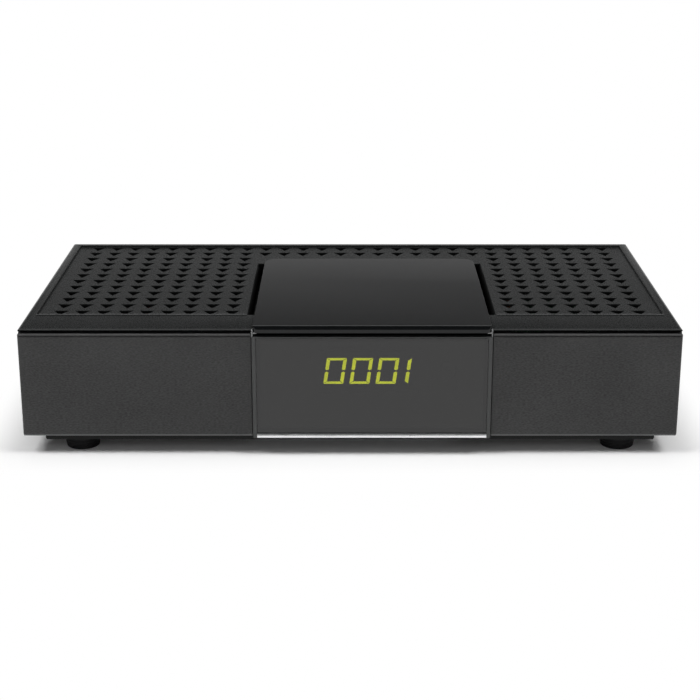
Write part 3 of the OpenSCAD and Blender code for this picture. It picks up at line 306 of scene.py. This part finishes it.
def ribbonCable(name, colour, pitch, depth):
    # Flat cable: a ridge for each conductor, with a darker web between
    material, tree, place, surface = newMaterial(name, {"IOR": 1.5, "Roughness": 0.45})
    ridges = addNode(tree, "ShaderNodeTexWave", {
        "Vector": (place, "Object"), "Scale": waveScale(pitch)}, bands_direction="X")
    paint = mottle(tree, (ridges, "Fac"), colour, 0.6, 1.1, {"From Min": 0.1, "From Max": 0.6})
    bump = addNode(tree, "ShaderNodeBump", {
        "Height": (ridges, "Fac"), "Strength": 1.0, "Distance": depth * mm})
    wire(tree, surface, {"Base Color": (paint, 2), "Normal": (bump, 0)})
    return material


def litBar(name, colour, strength):
    # Yellow-green light guides: evenly bright, a little weaker in places
    material, tree, place, surface = newMaterial(name, {
        "Base Color": linear(colour), "Roughness": 0.4, "Emission Color": linear(colour)})
    cloud = lumps(tree, place, 3.0, 1.0)
    power = addNode(tree, "ShaderNodeMapRange", {
        "Value": (cloud, "Fac"), **middle, "To Min": strength * 0.92, "To Max": strength * 1.08})
    wire(tree, surface, {"Emission Strength": (power, 0)})
    return material


# One finish for each of the record's material slots, and an own one for the tray
finishes = {
    # The cover's hole walls and inside faces are painted near black as shade, and its lip and rib carry
    # painted highlights
    "cover_plastic": mouldedPlastic(
        "satin sprayed ABS cover", "#212222", grain=0.42, depth=0.025, roughness=0.27, shade=0.95,
        specular=0.03, shadeColour="#060606", runs=coverRuns),
    "textured_plastic": mouldedPlastic(
        "grained ABS front", "#353535", grain=0.3, depth=0.13, roughness=0.55, shade=0.85,
        specular=0.3, runs=frontRuns, stretch=3.0),
    "bezel_plastic": polishedPlastic("semi-gloss ABS bezel", "#393a3a", 0.3, 0.002, 0.4),
    "gloss_black": polishedPlastic("gloss black ABS fascia", "#0c0d0e", 0.08, 0.002, 0.32, noseRuns),
    "smoked_window": smokedAcrylic("smoked acrylic window", "#464745"),
    "bright_trim": brushedMetal("bright plated trim", "#f3f4f4", 0.3, (60, 1, 1), 0.08, 0.002, 0.03),
    "rubber": ribbedRubber("ribbed black rubber", "#0a0a0b", 1.1, 0.12),
    "black_steel": mouldedPlastic("black powder coat", "#1b1c1d", 0.8, 0.03, 0.45, 0.12),
    "plated_steel": brushedMetal("nickel plate", "#c3c3c0", 0.24, (1, 1, 1), 0.3, 0.002),
    "zinc_screws": brushedMetal("bright zinc plate", "#aeb2b8", 0.3, (1, 1, 1), 0.2, 0.003),
    "board_green": solderMask("green solder mask", "#0f4a26", "#1f6a38", 1.0, 9.0),
    "chip_black": mouldedPlastic("moulded epoxy", "#18191a", 0.12, 0.01, 0.5, 0.2, 0.4),
    "sink_aluminium": brushedMetal("extruded aluminium", "#a9abae", 0.36, (1, 60, 1), 0.15, 0.006),
    "cap_sleeve": polishedPlastic("shrunk PVC sleeve", "#1c222b", 0.28, 0.004),
    "ferrite": mouldedPlastic("pressed ferrite", "#3c3d3e", 0.2, 0.02, 0.6, 0.2),
    "passive_tan": mouldedPlastic("fired ceramic", "#b08d5c", 0.15, 0.005, 0.4, 0.12),
    "contact_brass": brushedMetal("gold-flashed brass", "#d0a24c", 0.26, (1, 20, 1), 0.1, 0.002),
    "insulator_white": mouldedPlastic("white polythene", "#e4e2da", 0.5, 0.01, 0.45, 0.04),
    "audio_orange": polishedPlastic("orange ABS", "#d96a1c", 0.26, 0.002),
    "socket_black": mouldedPlastic("glass-filled nylon", "#191a1b", 0.3, 0.015, 0.48, 0.15, 0.4),
    "header_white": mouldedPlastic("natural nylon", "#e0ddd2", 0.4, 0.01, 0.4, 0.05),
    "rocker_black": polishedPlastic("gloss black nylon", "#161718", 0.22, 0.003),
    "contact_copper": brushedMetal("rolled copper", "#c07a48", 0.3, (1, 1, 30), 0.1, 0.003),
    "lead_red": polishedPlastic("soft PVC lead", "#3c100e", 0.4, 0.01, 0.3),
    "ribbon_grey": ribbonCable("grey ribbon cable", "#8f9193", 1.0, 0.15),
    "led_case": mouldedPlastic("black display case", "#131414", 0.3, 0.01, 0.5, 0.1, 0.3),
    "lit_segment": litBar("lit display bars", "#c2c802", 12.5),
    "ir_lens": smokedAcrylic("dark infra-red lens", "#2a1418"),
}
ownFinish = {"bottom_tray": mouldedPlastic("satin ABS tray", "#0d0e0e", 0.55, 0.03, 0.52, 0.1, 0.2)}
slotOf = {part["node"]: part["material_slot"] for part in frame["record"]["subparts"]}
for name, node in nodes.items():
    node.data.materials[0] = ownFinish.get(name, finishes[slotOf[name]])
print("finishes ready:", len(finishes), "slots")


# Soft edges on the carried-over nodes, in mm
edges = {"smoothDeg": 32, "flatDeg": 0.5, "segments": 2, "merge": 0.001, "width": 0.08, "own": {
    "top_cover": 0.11, "front_panel": 0.1, "top_fascia": 0.15, "bottom_tray": 0.2, "center_bezel": 0.14,
    "ir_receiver": 0.05, "scart_socket": 0.07, "led_segments": -0.04}}


def makeShadeGroup():
    # Smooth shading everywhere but across edges steeper than the limit
    tree = bpy.data.node_groups.new("smooth across shallow edges", "GeometryNodeTree")
    tree.interface.new_socket("Geometry", in_out="INPUT", socket_type="NodeSocketGeometry")
    tree.interface.new_socket("Geometry", in_out="OUTPUT", socket_type="NodeSocketGeometry")
    source = addNode(tree, "NodeGroupInput")
    faces = addNode(tree, "GeometryNodeSetShadeSmooth", {
        "Geometry": (source, 0), "Shade Smooth": True}, domain="FACE")
    angle = addNode(tree, "GeometryNodeInputMeshEdgeAngle")
    steep = addNode(tree, "FunctionNodeCompare", {
        0: (angle, 0), 1: math.radians(edges["smoothDeg"])}, data_type="FLOAT", operation="GREATER_THAN")
    sharp = addNode(tree, "GeometryNodeSetShadeSmooth", {
        "Geometry": (faces, 0), "Selection": (steep, 0), "Shade Smooth": False}, domain="EDGE")
    addNode(tree, "NodeGroupOutput", {0: (sharp, 0)})
    return tree


shadeGroup = makeShadeGroup()


def softEdges(node, width):
    # Joins the loose triangles into flat faces, rounds the edges and shades smooth across shallow ones;
    # a width below nought draws the faces in instead, to part the bars of the display
    node.modifiers.new("join", "WELD").merge_threshold = edges["merge"] * mm
    flat = node.modifiers.new("flat faces", "DECIMATE")
    flat.decimate_type = "DISSOLVE"
    flat.angle_limit = math.radians(edges["flatDeg"])
    if width < 0:
        trimmed = node.modifiers.new("drawn in", "DISPLACE")
        trimmed.mid_level = 0
        trimmed.strength = width * mm
    node.modifiers.new("shade", "NODES").node_group = shadeGroup
    if width <= 0:
        return
    bevel = node.modifiers.new("edges", "BEVEL")
    bevel.width = width * mm
    bevel.segments = edges["segments"]
    bevel.limit_method = "ANGLE"
    bevel.angle_limit = math.radians(edges["smoothDeg"])
    bevel.use_clamp_overlap = True
    bevel.harden_normals = True
    node.modifiers.new("close", "WELD").merge_threshold = edges["merge"] * mm


for name, node in nodes.items():
    softEdges(node, edges["own"].get(name, edges["width"]))
print("edges softened")


# Mesh helpers for the small pieces
def gridFaces(rows, cols, wrapRows=False):
    # Quads over a grid of points numbered row by row; the columns close on themselves, the rows if asked
    i = np.arange(rows if wrapRows else rows - 1)[:, None]
    j = np.arange(cols)[None, :]
    nextRow, nextCol = (i + 1) % rows, (j + 1) % cols
    quads = [i * cols + j, i * cols + nextCol, nextRow * cols + nextCol, nextRow * cols + j]
    return np.stack(np.broadcast_arrays(*quads), -1).reshape(-1, 4)


def oblong(width, thick):
    # A closed four-cornered profile about nought
    return np.array([(-1, -1), (1, -1), (1, 1), (-1, 1)]) * (width / 2, thick / 2)


def sweep(path, profile, across):
    # Every path point carries the profile: point + u * across + w * (tangent x across);
    # the ends close on the path
    path, across = np.asarray(path, float), np.asarray(across, float)
    along = np.gradient(path, axis=0)
    along /= np.linalg.norm(along, axis=1, keepdims=True)
    up = np.cross(along, across)
    rings = path[:, None] + profile[:, :1] * across + profile[None, :, 1:] * up[:, None]
    ends = np.repeat(path[[0, -1], None], len(profile), axis=1)
    rings = np.concatenate([ends[:1], rings, ends[1:]])
    return rings.reshape(-1, 3) * mm, gridFaces(*rings.shape[:2])


def loopBand(loop, width, thick):
    # A closed loop in the x-z plane drawn as a flat band: its outward normal times u, plus w along y
    loop = np.asarray(loop, float)
    along = np.roll(loop, -1, 0) - np.roll(loop, 1, 0)
    along /= np.linalg.norm(along, axis=1, keepdims=True)
    out = np.cross(along, (0, 1, 0))
    section = oblong(width, thick)
    rings = loop[:, None] + section[:, :1] * out[:, None] + section[:, 1:] * np.array((0, 1, 0))
    return rings.reshape(-1, 3) * mm, gridFaces(*rings.shape[:2], wrapRows=True)


def turned(profile, centre, steps):
    # The closed profile of (radius, height) pairs turned about an upright axis: r cos t, r sin t, h
    t = np.linspace(0, 2 * math.pi, steps, endpoint=False)[:, None]
    r, h = np.asarray(profile, float).T
    rings = np.stack(np.broadcast_arrays(r * np.cos(t), r * np.sin(t), h), -1) + np.asarray(centre)
    return rings.reshape(-1, 3) * mm, gridFaces(*rings.shape[:2], wrapRows=True)


def roundedLoop(x0, z0, x1, z1, r):
    # A rectangle's outline with quarter-round corners, anticlockwise seen from the front
    t = np.linspace(0, math.pi / 2, 7)
    turns = (np.arange(4) * math.pi / 2)[:, None] + t
    cx = np.array((x1 - r, x0 + r, x0 + r, x1 - r))[:, None]
    cz = np.array((z1 - r, z1 - r, z0 + r, z0 + r))[:, None]
    return (cx + r * np.cos(turns)).ravel(), (cz + r * np.sin(turns)).ravel()


def repeat(part, offsets):
    # Copies of a part, moved by each offset in mm
    points, quads = part
    offsets = np.asarray(offsets, float).reshape(-1, 1, 3) * mm
    count = np.arange(len(offsets))[:, None, None] * len(points)
    return (points + offsets).reshape(-1, 3), (quads + count).reshape(-1, 4)


def addPiece(name, parts, finish, body="receiver"):
    # Joins the parts into one mesh, closes their seams and poles, and turns the faces outwards
    starts = np.cumsum([0] + [len(points) for points, quads in parts[:-1]])
    points = np.concatenate([part[0] for part in parts])
    quads = np.concatenate([part[1] + start for part, start in zip(parts, starts)])
    mesh = bpy.data.meshes.new(name)
    mesh.from_pydata(points.tolist(), [], quads.tolist())
    work = bmesh.new()
    work.from_mesh(mesh)
    bmesh.ops.remove_doubles(work, verts=work.verts, dist=1e-7)
    bmesh.ops.dissolve_degenerate(work, edges=work.edges, dist=1e-8)
    bmesh.ops.recalc_face_normals(work, faces=work.faces)
    work.to_mesh(mesh)
    work.free()
    mesh.polygons.foreach_set("use_smooth", np.ones(len(mesh.polygons), bool))
    mesh.set_sharp_from_angle(angle=math.radians(edges["smoothDeg"]))
    mesh.materials.append(finish)
    piece = bpy.data.objects.new(name, mesh)
    bpy.context.scene.collection.objects.link(piece)
    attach(piece, body)


# Measures of the carried-over nodes, in mm
def boxOf(name):
    low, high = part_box(name)
    return np.array(low) / mm, np.array(high) / mm


def meshPoints(name):
    mesh = nodes[name].data
    points = np.empty(len(mesh.vertices) * 3)
    mesh.vertices.foreach_get("co", points)
    return mesh, points.reshape(-1, 3) / mm


def solidBoxes(name):
    # The box of each separate solid of a node: the lowest label spreads along edges until none changes
    mesh, points = meshPoints(name)
    ends = np.empty(len(mesh.edges) * 2, int)
    mesh.edges.foreach_get("vertices", ends)
    points, same = np.unique(np.round(points, 4), axis=0, return_inverse=True)
    a, b = same.ravel()[ends.reshape(-1, 2)].T
    label = np.arange(len(points))
    while True:
        low = label.copy()
        np.minimum.at(low, a, label[b])
        np.minimum.at(low, b, label[a])
        low = low[low]
        if (low == label).all():
            break
        label = low
    return [(points[label == k].min(0), points[label == k].max(0)) for k in np.unique(label)]


def rearSurface(name, x, z):
    # How far back a node reaches over each (x, z) point: every point is tried in every triangle at once
    mesh, points = meshPoints(name)
    mesh.calc_loop_triangles()
    corners = np.empty(len(mesh.loop_triangles) * 3, int)
    mesh.loop_triangles.foreach_get("vertices", corners)
    a, b, c = points[corners.reshape(-1, 3)].transpose(1, 0, 2)
    ab, ac = b - a, c - a
    area = ab[:, 0] * ac[:, 2] - ab[:, 2] * ac[:, 0]
    flat = np.abs(area) < 1e-6
    area = np.where(flat, 1, area)
    dx, dz = x.ravel()[:, None] - a[:, 0], z.ravel()[:, None] - a[:, 2]
    u = (dx * ac[:, 2] - dz * ac[:, 0]) / area
    w = (ab[:, 0] * dz - ab[:, 2] * dx) / area
    hit = (u > -1e-4) & (w > -1e-4) & (u + w < 1.0001) & ~flat
    y = np.where(hit, a[:, 1] + u * ab[:, 1] + w * ac[:, 1], -1e6)
    return y.max(1).reshape(x.shape)


# Gull-wing legs on the chips: a flat strip that steps out of the body and down to the board
legs = {"pitch": {"memory_chips": 0.8, "flash_chip": 1.27, "power_chips": 1.27, "tuner_chip": 0.65},
        "width": 0.32, "thick": 0.13, "margin": 0.6, "lift": 0.08,
        "out": (-0.1, 0.25, 0.42, 0.5, 0.62, 1.0)}


def makeLegs():
    parts = []
    out = np.array(legs["out"])
    for name, pitch in legs["pitch"].items():
        for low, high in solidBoxes(name):
            centre = (low + high) / 2
            foot = low[2] + legs["lift"]
            count = int((high[1] - low[1] - legs["margin"]) / pitch) + 1
            y = centre[1] + (np.arange(count) - (count - 1) / 2) * pitch
            z = np.array((centre[2], centre[2], centre[2] - 0.1, foot + 0.12, foot, foot))
            for side, x in ((-1, low[0]), (1, high[0])):
                path = np.stack([x + side * out, out * 0, z], -1)
                leg = sweep(path, oblong(legs["width"], legs["thick"]), (0, 1, 0))
                parts.append(repeat(leg, np.stack([y * 0, y, y * 0], -1)))
    addPiece("chip_legs", parts, finishes["plated_steel"])


# Capacitor tops: a domed disc inside a rolled rim, and a pale polarity stripe on each sleeve
caps = {"rim": 0.35, "dome": 0.12, "sunk": 0.05, "edge": 0.03, "steps": 20,
        "stripeDeg": 44, "stripeLong": 0.86, "stripeThick": 0.06, "stripe": "#a8adb5"}


def makeCapacitorTops():
    tops, stripes = [], []
    turn = np.radians(np.linspace(-0.5, 0.5, 9) * caps["stripeDeg"])
    for low, high in solidBoxes("capacitors"):
        centre = (low + high) / 2
        radius = (high[0] - low[0]) / 2
        top = high[2]
        rim = radius - caps["rim"]
        profile = [(0, top - caps["sunk"]), (rim, top - caps["sunk"]), (rim, top + caps["edge"]),
                   (rim * 0.6, top + caps["dome"] * 0.7), (0, top + caps["dome"])]
        tops.append(turned(profile, (centre[0], centre[1], 0), caps["steps"]))
        arc = np.stack([centre[0] + radius * np.cos(turn), centre[1] + radius * np.sin(turn),
                        turn * 0 + centre[2]], -1)
        strip = oblong((top - low[2]) * caps["stripeLong"], caps["stripeThick"])
        stripes.append(sweep(arc, strip, (0, 0, 1)))
    addPiece("capacitor_tops", tops, finishes["sink_aluminium"])
    sleevePrint = mouldedPlastic("pale sleeve print", caps["stripe"], 0.3, 0.004, 0.5, 0.08)
    addPiece("capacitor_stripes", stripes, sleevePrint)


# Spring contacts of the sockets: thin strips along the tongues and bowed leaves in the slots
contacts = {"usb": {"x": (-3.5, -1.0, 1.0, 3.5), "wide": 1.0}, "video": {"pitch": 1.0, "wide": 0.45},
            "strip": 0.12,
            "leaf": {"wide": 2.5, "thick": 0.3, "bow": 0.32, "deep": 6.4, "back": 0.7, "pitch": 3.81,
                     "row": 3.1, "shift": -1.6, "stagger": 0.9525, "count": 10},
            "jack": {"wide": 1.8, "thick": 0.25, "deep": 8.5, "back": 0.8, "radius": 3.15, "lift": 0.12,
                     "rise": 0.55}}


def tongueStrip(y0, y1, z, side, wide):
    # A strip that lies on a tongue's face and dips into it at the open end
    y = np.array((y0 + 0.3, y1 - 1.6, y1 - 1.0, y1 - 0.7, y1 - 0.45))
    drop = np.array((0.03, 0.03, 0.06, 0.03, -0.15))
    return sweep(np.stack([y * 0, y, z + side * drop], -1), oblong(wide, contacts["strip"]), (1, 0, 0))


def makeContacts():
    low, high = boxOf("usb_tongue")
    strip = tongueStrip(low[1], high[1], low[2], -1, contacts["usb"]["wide"])
    x = (low[0] + high[0]) / 2 + np.array(contacts["usb"]["x"])
    parts = [repeat(strip, np.stack([x, x * 0, x * 0], -1))]
    low, high = boxOf("video_tongue")
    for count, z, side in ((10, high[2], 1), (9, low[2], -1)):
        strip = tongueStrip(low[1], high[1], z, side, contacts["video"]["wide"])
        x = (low[0] + high[0]) / 2 + (np.arange(count) - (count - 1) / 2) * contacts["video"]["pitch"]
        parts.append(repeat(strip, np.stack([x, x * 0, x * 0], -1)))
    low, high = boxOf("scart_socket")
    leaf = contacts["leaf"]
    t = np.linspace(0, 1, 7)
    y = high[1] - leaf["back"] - leaf["deep"] * (1 - t)
    path = np.stack([leaf["bow"] * np.sin(math.pi * t), y, t * 0], -1)
    strip = sweep(path, oblong(leaf["wide"], leaf["thick"]), (0, 0, 1))
    i, row = np.meshgrid(np.arange(leaf["count"]) - (leaf["count"] - 1) / 2, (-1, 1))
    x = (low[0] + high[0]) / 2 + leaf["shift"] + i * leaf["pitch"] + row * leaf["stagger"]
    z = (low[2] + high[2]) / 2 + row * leaf["row"]
    parts.append(repeat(strip, np.stack([x, x * 0, z], -1)))
    jack = contacts["jack"]
    high = boxOf("dc_jack")[1]
    pin = sum(boxOf("dc_pin")) / 2
    y = high[1] - jack["back"] - jack["deep"] * (1 - t)
    z = pin[2] - jack["radius"] + jack["lift"] + jack["rise"] * np.sin(math.pi * t) ** 2
    path = np.stack([t * 0 + pin[0], y, z], -1)
    parts.append(sweep(path, oblong(jack["wide"], jack["thick"]), (1, 0, 0)))
    addPiece("socket_contacts", parts, finishes["contact_brass"])


# On and off marks on the rocker, laid over its face: a bar on one half and a ring on the other
marks = {"height": 3.4, "stroke": 0.7, "from": 4.3, "proud": 0.05, "colour": "#d8d9d6"}


def onRocker(x, z, sides):
    # Points over the rocker's face, raised or sunk by the print's half thickness
    y = rearSurface("power_rocker", x, z) + sides * marks["proud"]
    return np.stack([x, y, z], -1)


def makeMarks(ink):
    low, high = boxOf("power_rocker")
    middleX, middleZ = (low[0] + high[0]) / 2, (low[2] + high[2]) / 2
    stroke = oblong(marks["stroke"], 2)
    along = np.linspace(-0.5, 0.5, 9)[:, None] * marks["height"]
    x, z = np.broadcast_arrays(middleX + stroke[:, 0], middleZ + marks["from"] + along)
    bar = onRocker(x, z, stroke[:, 1])
    ends = np.repeat(bar.mean(1, keepdims=True)[[0, -1]], 4, axis=1)
    bar = np.concatenate([ends[:1], bar, ends[1:]])
    t = np.linspace(0, 2 * math.pi, 40, endpoint=False)[:, None]
    r = (marks["height"] - marks["stroke"]) / 2 + stroke[:, 0]
    ring = onRocker(middleX + r * np.cos(t), middleZ - marks["from"] + r * np.sin(t), stroke[:, 1])
    parts = [(bar.reshape(-1, 3) * mm, gridFaces(len(bar), 4)),
             (ring.reshape(-1, 3) * mm, gridFaces(len(ring), 4, wrapRows=True))]
    addPiece("rocker_marks", parts, ink, "rocker")


# Thin printed frames round the groups of sockets on the rear panel, each with its margin
frames = {"line": 0.35, "thick": 0.05, "corner": 2.0, "round": [
    (["scart_socket"], 2.2), (["antenna_in_socket", "antenna_out_plug"], 2.4),
    (["usb_socket", "video_socket"], 3.0), (["audio_barrel"], 2.6), (["dc_jack"], 2.2)]}


def makeFrames(ink):
    y = boxOf("rear_panel")[1][1] + frames["thick"] / 2
    parts = []
    for names, margin in frames["round"]:
        low = np.min([boxOf(name)[0] for name in names], axis=0) - margin
        high = np.max([boxOf(name)[1] for name in names], axis=0) + margin
        x, z = roundedLoop(low[0], low[2], high[0], high[2], frames["corner"])
        parts.append(loopBand(np.stack([x, x * 0 + y, z], -1), frames["line"], frames["thick"]))
    addPiece("rear_print", parts, ink)


# Hooks at the upper ends of the bezel: a post beside the nose with a short foot turned in under it, pale as
# a painted highlight of the bezel's corners
hooks = {"wide": 0.4, "thick": 0.6, "back": 0.35, "sunk": 0.4, "rise": 2.45, "foot": 1.5, "step": 1.1,
         "colour": "#8f9090"}


def makeHooks():
    low, high = boxOf("center_bezel")
    top = high[2]
    y = faceY / mm + hooks["back"] + hooks["thick"] / 2
    half = hooks["wide"] / 2
    section = oblong(hooks["thick"], hooks["wide"])
    rise = np.array((-hooks["sunk"], 0.6, hooks["rise"] - 0.15, hooks["rise"]))
    lean = np.array((0, 0, 0, 0.1))
    run = np.array((0, hooks["foot"] - 0.2, hooks["foot"]))
    drop = np.array((0, 0, -0.1))
    parts = []
    for x, inward in ((low[0] + half, 1), (high[0] - half, -1)):
        post = np.stack([x + lean * inward, rise * 0 + y, top + rise], -1)
        foot = np.stack([x + run * inward, run * 0 + y, top + hooks["step"] + drop], -1)
        parts += [sweep(path, section, (0, 1, 0)) for path in (post, foot)]
    # The hooks' pale colour is a painted highlight at the bezel's corners
    bright = polishedPlastic("pale painted highlight", hooks["colour"], 0.3, 0.002, 0.5)
    addPiece("bezel_hooks", parts, bright)


# A plain sticker under the tray, with rounded corners and a slightly lifted rim
label = {"width": 70, "length": 20, "corner": 2.0, "thick": 0.12, "from": 8.5, "colour": "#b9babb"}


def makeLabel():
    bottom = boxOf("bottom_tray")[0][2]
    y0 = faceY / mm + label["from"]
    half = label["width"] / 2
    x, y = roundedLoop(-half, y0, half, y0 + label["length"], label["corner"])
    inset = np.array((0, 1, 1, 0.996, 0))[:, None]
    z = bottom + np.array((0.02, 0.02, 0, -1, -1))[:, None] * label["thick"]
    centre = y0 + label["length"] / 2
    rings = np.stack(np.broadcast_arrays(x * inset, centre + (y - centre) * inset, z), -1)
    part = (rings.reshape(-1, 3) * mm, gridFaces(*rings.shape[:2]))
    sticker = brushedMetal("silver polyester sticker", label["colour"], 0.42, (30, 1, 1), 0.1, 0.002)
    addPiece("underside_label", [part], sticker)


padPrint = mouldedPlastic("white pad print", marks["colour"], 0.2, 0.004, 0.5, 0.05)
makeLegs()
makeCapacitorTops()
makeContacts()
makeMarks(padPrint)
makeFrames(padPrint)
makeHooks()
makeLabel()
print("small pieces made")


# Floor and studio light, in metres and watts
studio = {"floor": "#fafafa", "half": 6.0, "reach": (0.106, 0.056), "glow": (0.002, 0.023), "fill": 0.01,
          "front": 0.25, "turn": (-0.1, 0.3), "band": (0.12, 0.22), "aim": 0.03,
          "softbox": {"power": 14.0, "size": (0.7, 0.7), "at": (0.95, -0.3, 1.25)},
          "hairLight": {"power": 3.0, "size": (1.6, 0.4), "at": (0, 0.9, 1.2)},
          "frontLight": {"power": 2.0, "size": (1.6, 0.6), "at": (0, -1.3, 0.95)},
          "sky": [(-0.02, 1.0), (0.13, 1.0), (0.23, 0.3), (0.32, 0.07), (1.0, 0.06)]}


def makeFloor():
    # White paper that keeps the shadow near the object and clears to white further out
    mesh = bpy.data.meshes.new("floor")
    corners = np.array([(-1, -1, 0), (1, -1, 0), (1, 1, 0), (-1, 1, 0)]) * studio["half"]
    mesh.from_pydata(corners.tolist(), [], [(0, 1, 2, 3)])
    floor = bpy.data.objects.new("floor", mesh)
    bpy.context.scene.collection.objects.link(floor)
    material, tree, place, surface = newMaterial("white paper floor", {
        "Roughness": 0.9, "Specular IOR Level": 0.0, "Emission Color": (1, 1, 1, 1)})
    folded = addNode(tree, "ShaderNodeVectorMath", {0: (place, "Object")}, operation="ABSOLUTE")
    past = addNode(tree, "ShaderNodeVectorMath", {
        0: (folded, 0), 1: (*studio["reach"], 0)}, operation="SUBTRACT")
    outside = addNode(tree, "ShaderNodeVectorMath", {0: (past, 0), 1: (0, 0, 0)}, operation="MAXIMUM")
    away = addNode(tree, "ShaderNodeVectorMath", {0: (outside, 0)}, operation="LENGTH")
    near, far = studio["glow"]
    clear = addNode(tree, "ShaderNodeMapRange", {
        "Value": (away, "Value"), "From Min": near, "From Max": far, "To Min": studio["fill"]},
        interpolation_type="SMOOTHSTEP")
    path = addNode(tree, "ShaderNodeLightPath")
    seen = addNode(tree, "ShaderNodeMath", {
        0: (path, "Is Camera Ray"), 1: (path, "Is Glossy Ray")}, operation="MAXIMUM")
    shown = addNode(tree, "ShaderNodeMath", {
        0: (seen, 0), 1: (path, "Is Transmission Ray")}, operation="MAXIMUM")
    glow = addNode(tree, "ShaderNodeMath", {0: (clear, 0), 1: (shown, 0)}, operation="MULTIPLY")
    paper = addNode(tree, "ShaderNodeMix", {
        "Factor": (glow, 0), "A": linear(studio["floor"]), "B": (0, 0, 0, 1)}, data_type="RGBA")
    wire(tree, surface, {"Base Color": (paper, 2), "Emission Strength": (glow, 0)})
    mesh.materials.append(material)


def makeWorld():
    # A white horizon all round that falls off to a dim ceiling, dimmest towards the front
    world = bpy.data.worlds.new("studio")
    bpy.context.scene.world = world
    world.use_nodes = True
    tree = world.node_tree
    tree.nodes.clear()
    place = addNode(tree, "ShaderNodeTexCoord")
    axes = addNode(tree, "ShaderNodeSeparateXYZ", {0: (place, "Generated")})
    height = addNode(tree, "ShaderNodeMapRange", {"Value": (axes, "Z"), "From Min": -1.0, "From Max": 1.0})
    sky = addNode(tree, "ShaderNodeValToRGB", {"Fac": (height, 0)})
    stops = sky.color_ramp.elements
    for i, (z, level) in enumerate(studio["sky"]):
        stop = stops[i] if i < 2 else stops.new(1.0)
        stop.position = (z + 1) / 2
        stop.color = (level, level, level, 1)
    dimmed = addNode(tree, "ShaderNodeMapRange", {
        "Value": (axes, "Y"), "From Min": studio["turn"][0], "From Max": studio["turn"][1],
        "To Min": studio["front"], "To Max": 1.0})
    low = addNode(tree, "ShaderNodeMapRange", {
        "Value": (axes, "Z"), "From Min": studio["band"][0], "From Max": studio["band"][1],
        "To Min": 1.0, "To Max": 0.0})
    level = addNode(tree, "ShaderNodeMath", {0: (dimmed, 0), 1: (low, 0)}, operation="MAXIMUM")
    light = addNode(tree, "ShaderNodeBackground", {"Color": (sky, 0), "Strength": (level, 0)})
    addNode(tree, "ShaderNodeOutputWorld", {"Surface": (light, 0)})


def addLamp(name, kind, side=1):
    # A rectangle of light that faces the object's middle
    lamp = bpy.data.lights.new(name, "AREA")
    lamp.shape = "RECTANGLE"
    lamp.size, lamp.size_y = studio[kind]["size"]
    lamp.energy = studio[kind]["power"]
    lampObject = bpy.data.objects.new(name, lamp)
    bpy.context.scene.collection.objects.link(lampObject)
    lampObject.location = np.array(studio[kind]["at"]) * (side, 1, 1)
    away = np.array(lampObject.location) - (0, 0, studio["aim"])
    tilt = math.atan2(math.hypot(away[0], away[1]), away[2])
    lampObject.rotation_euler = (tilt, 0, math.atan2(away[0], -away[1]))


makeFloor()
makeWorld()
addLamp("left softbox", "softbox", -1)
addLamp("right softbox", "softbox")
addLamp("hair light", "hairLight")
addLamp("front light", "frontLight")
bpy.context.scene.view_settings.view_transform = "Standard"
print("studio ready")
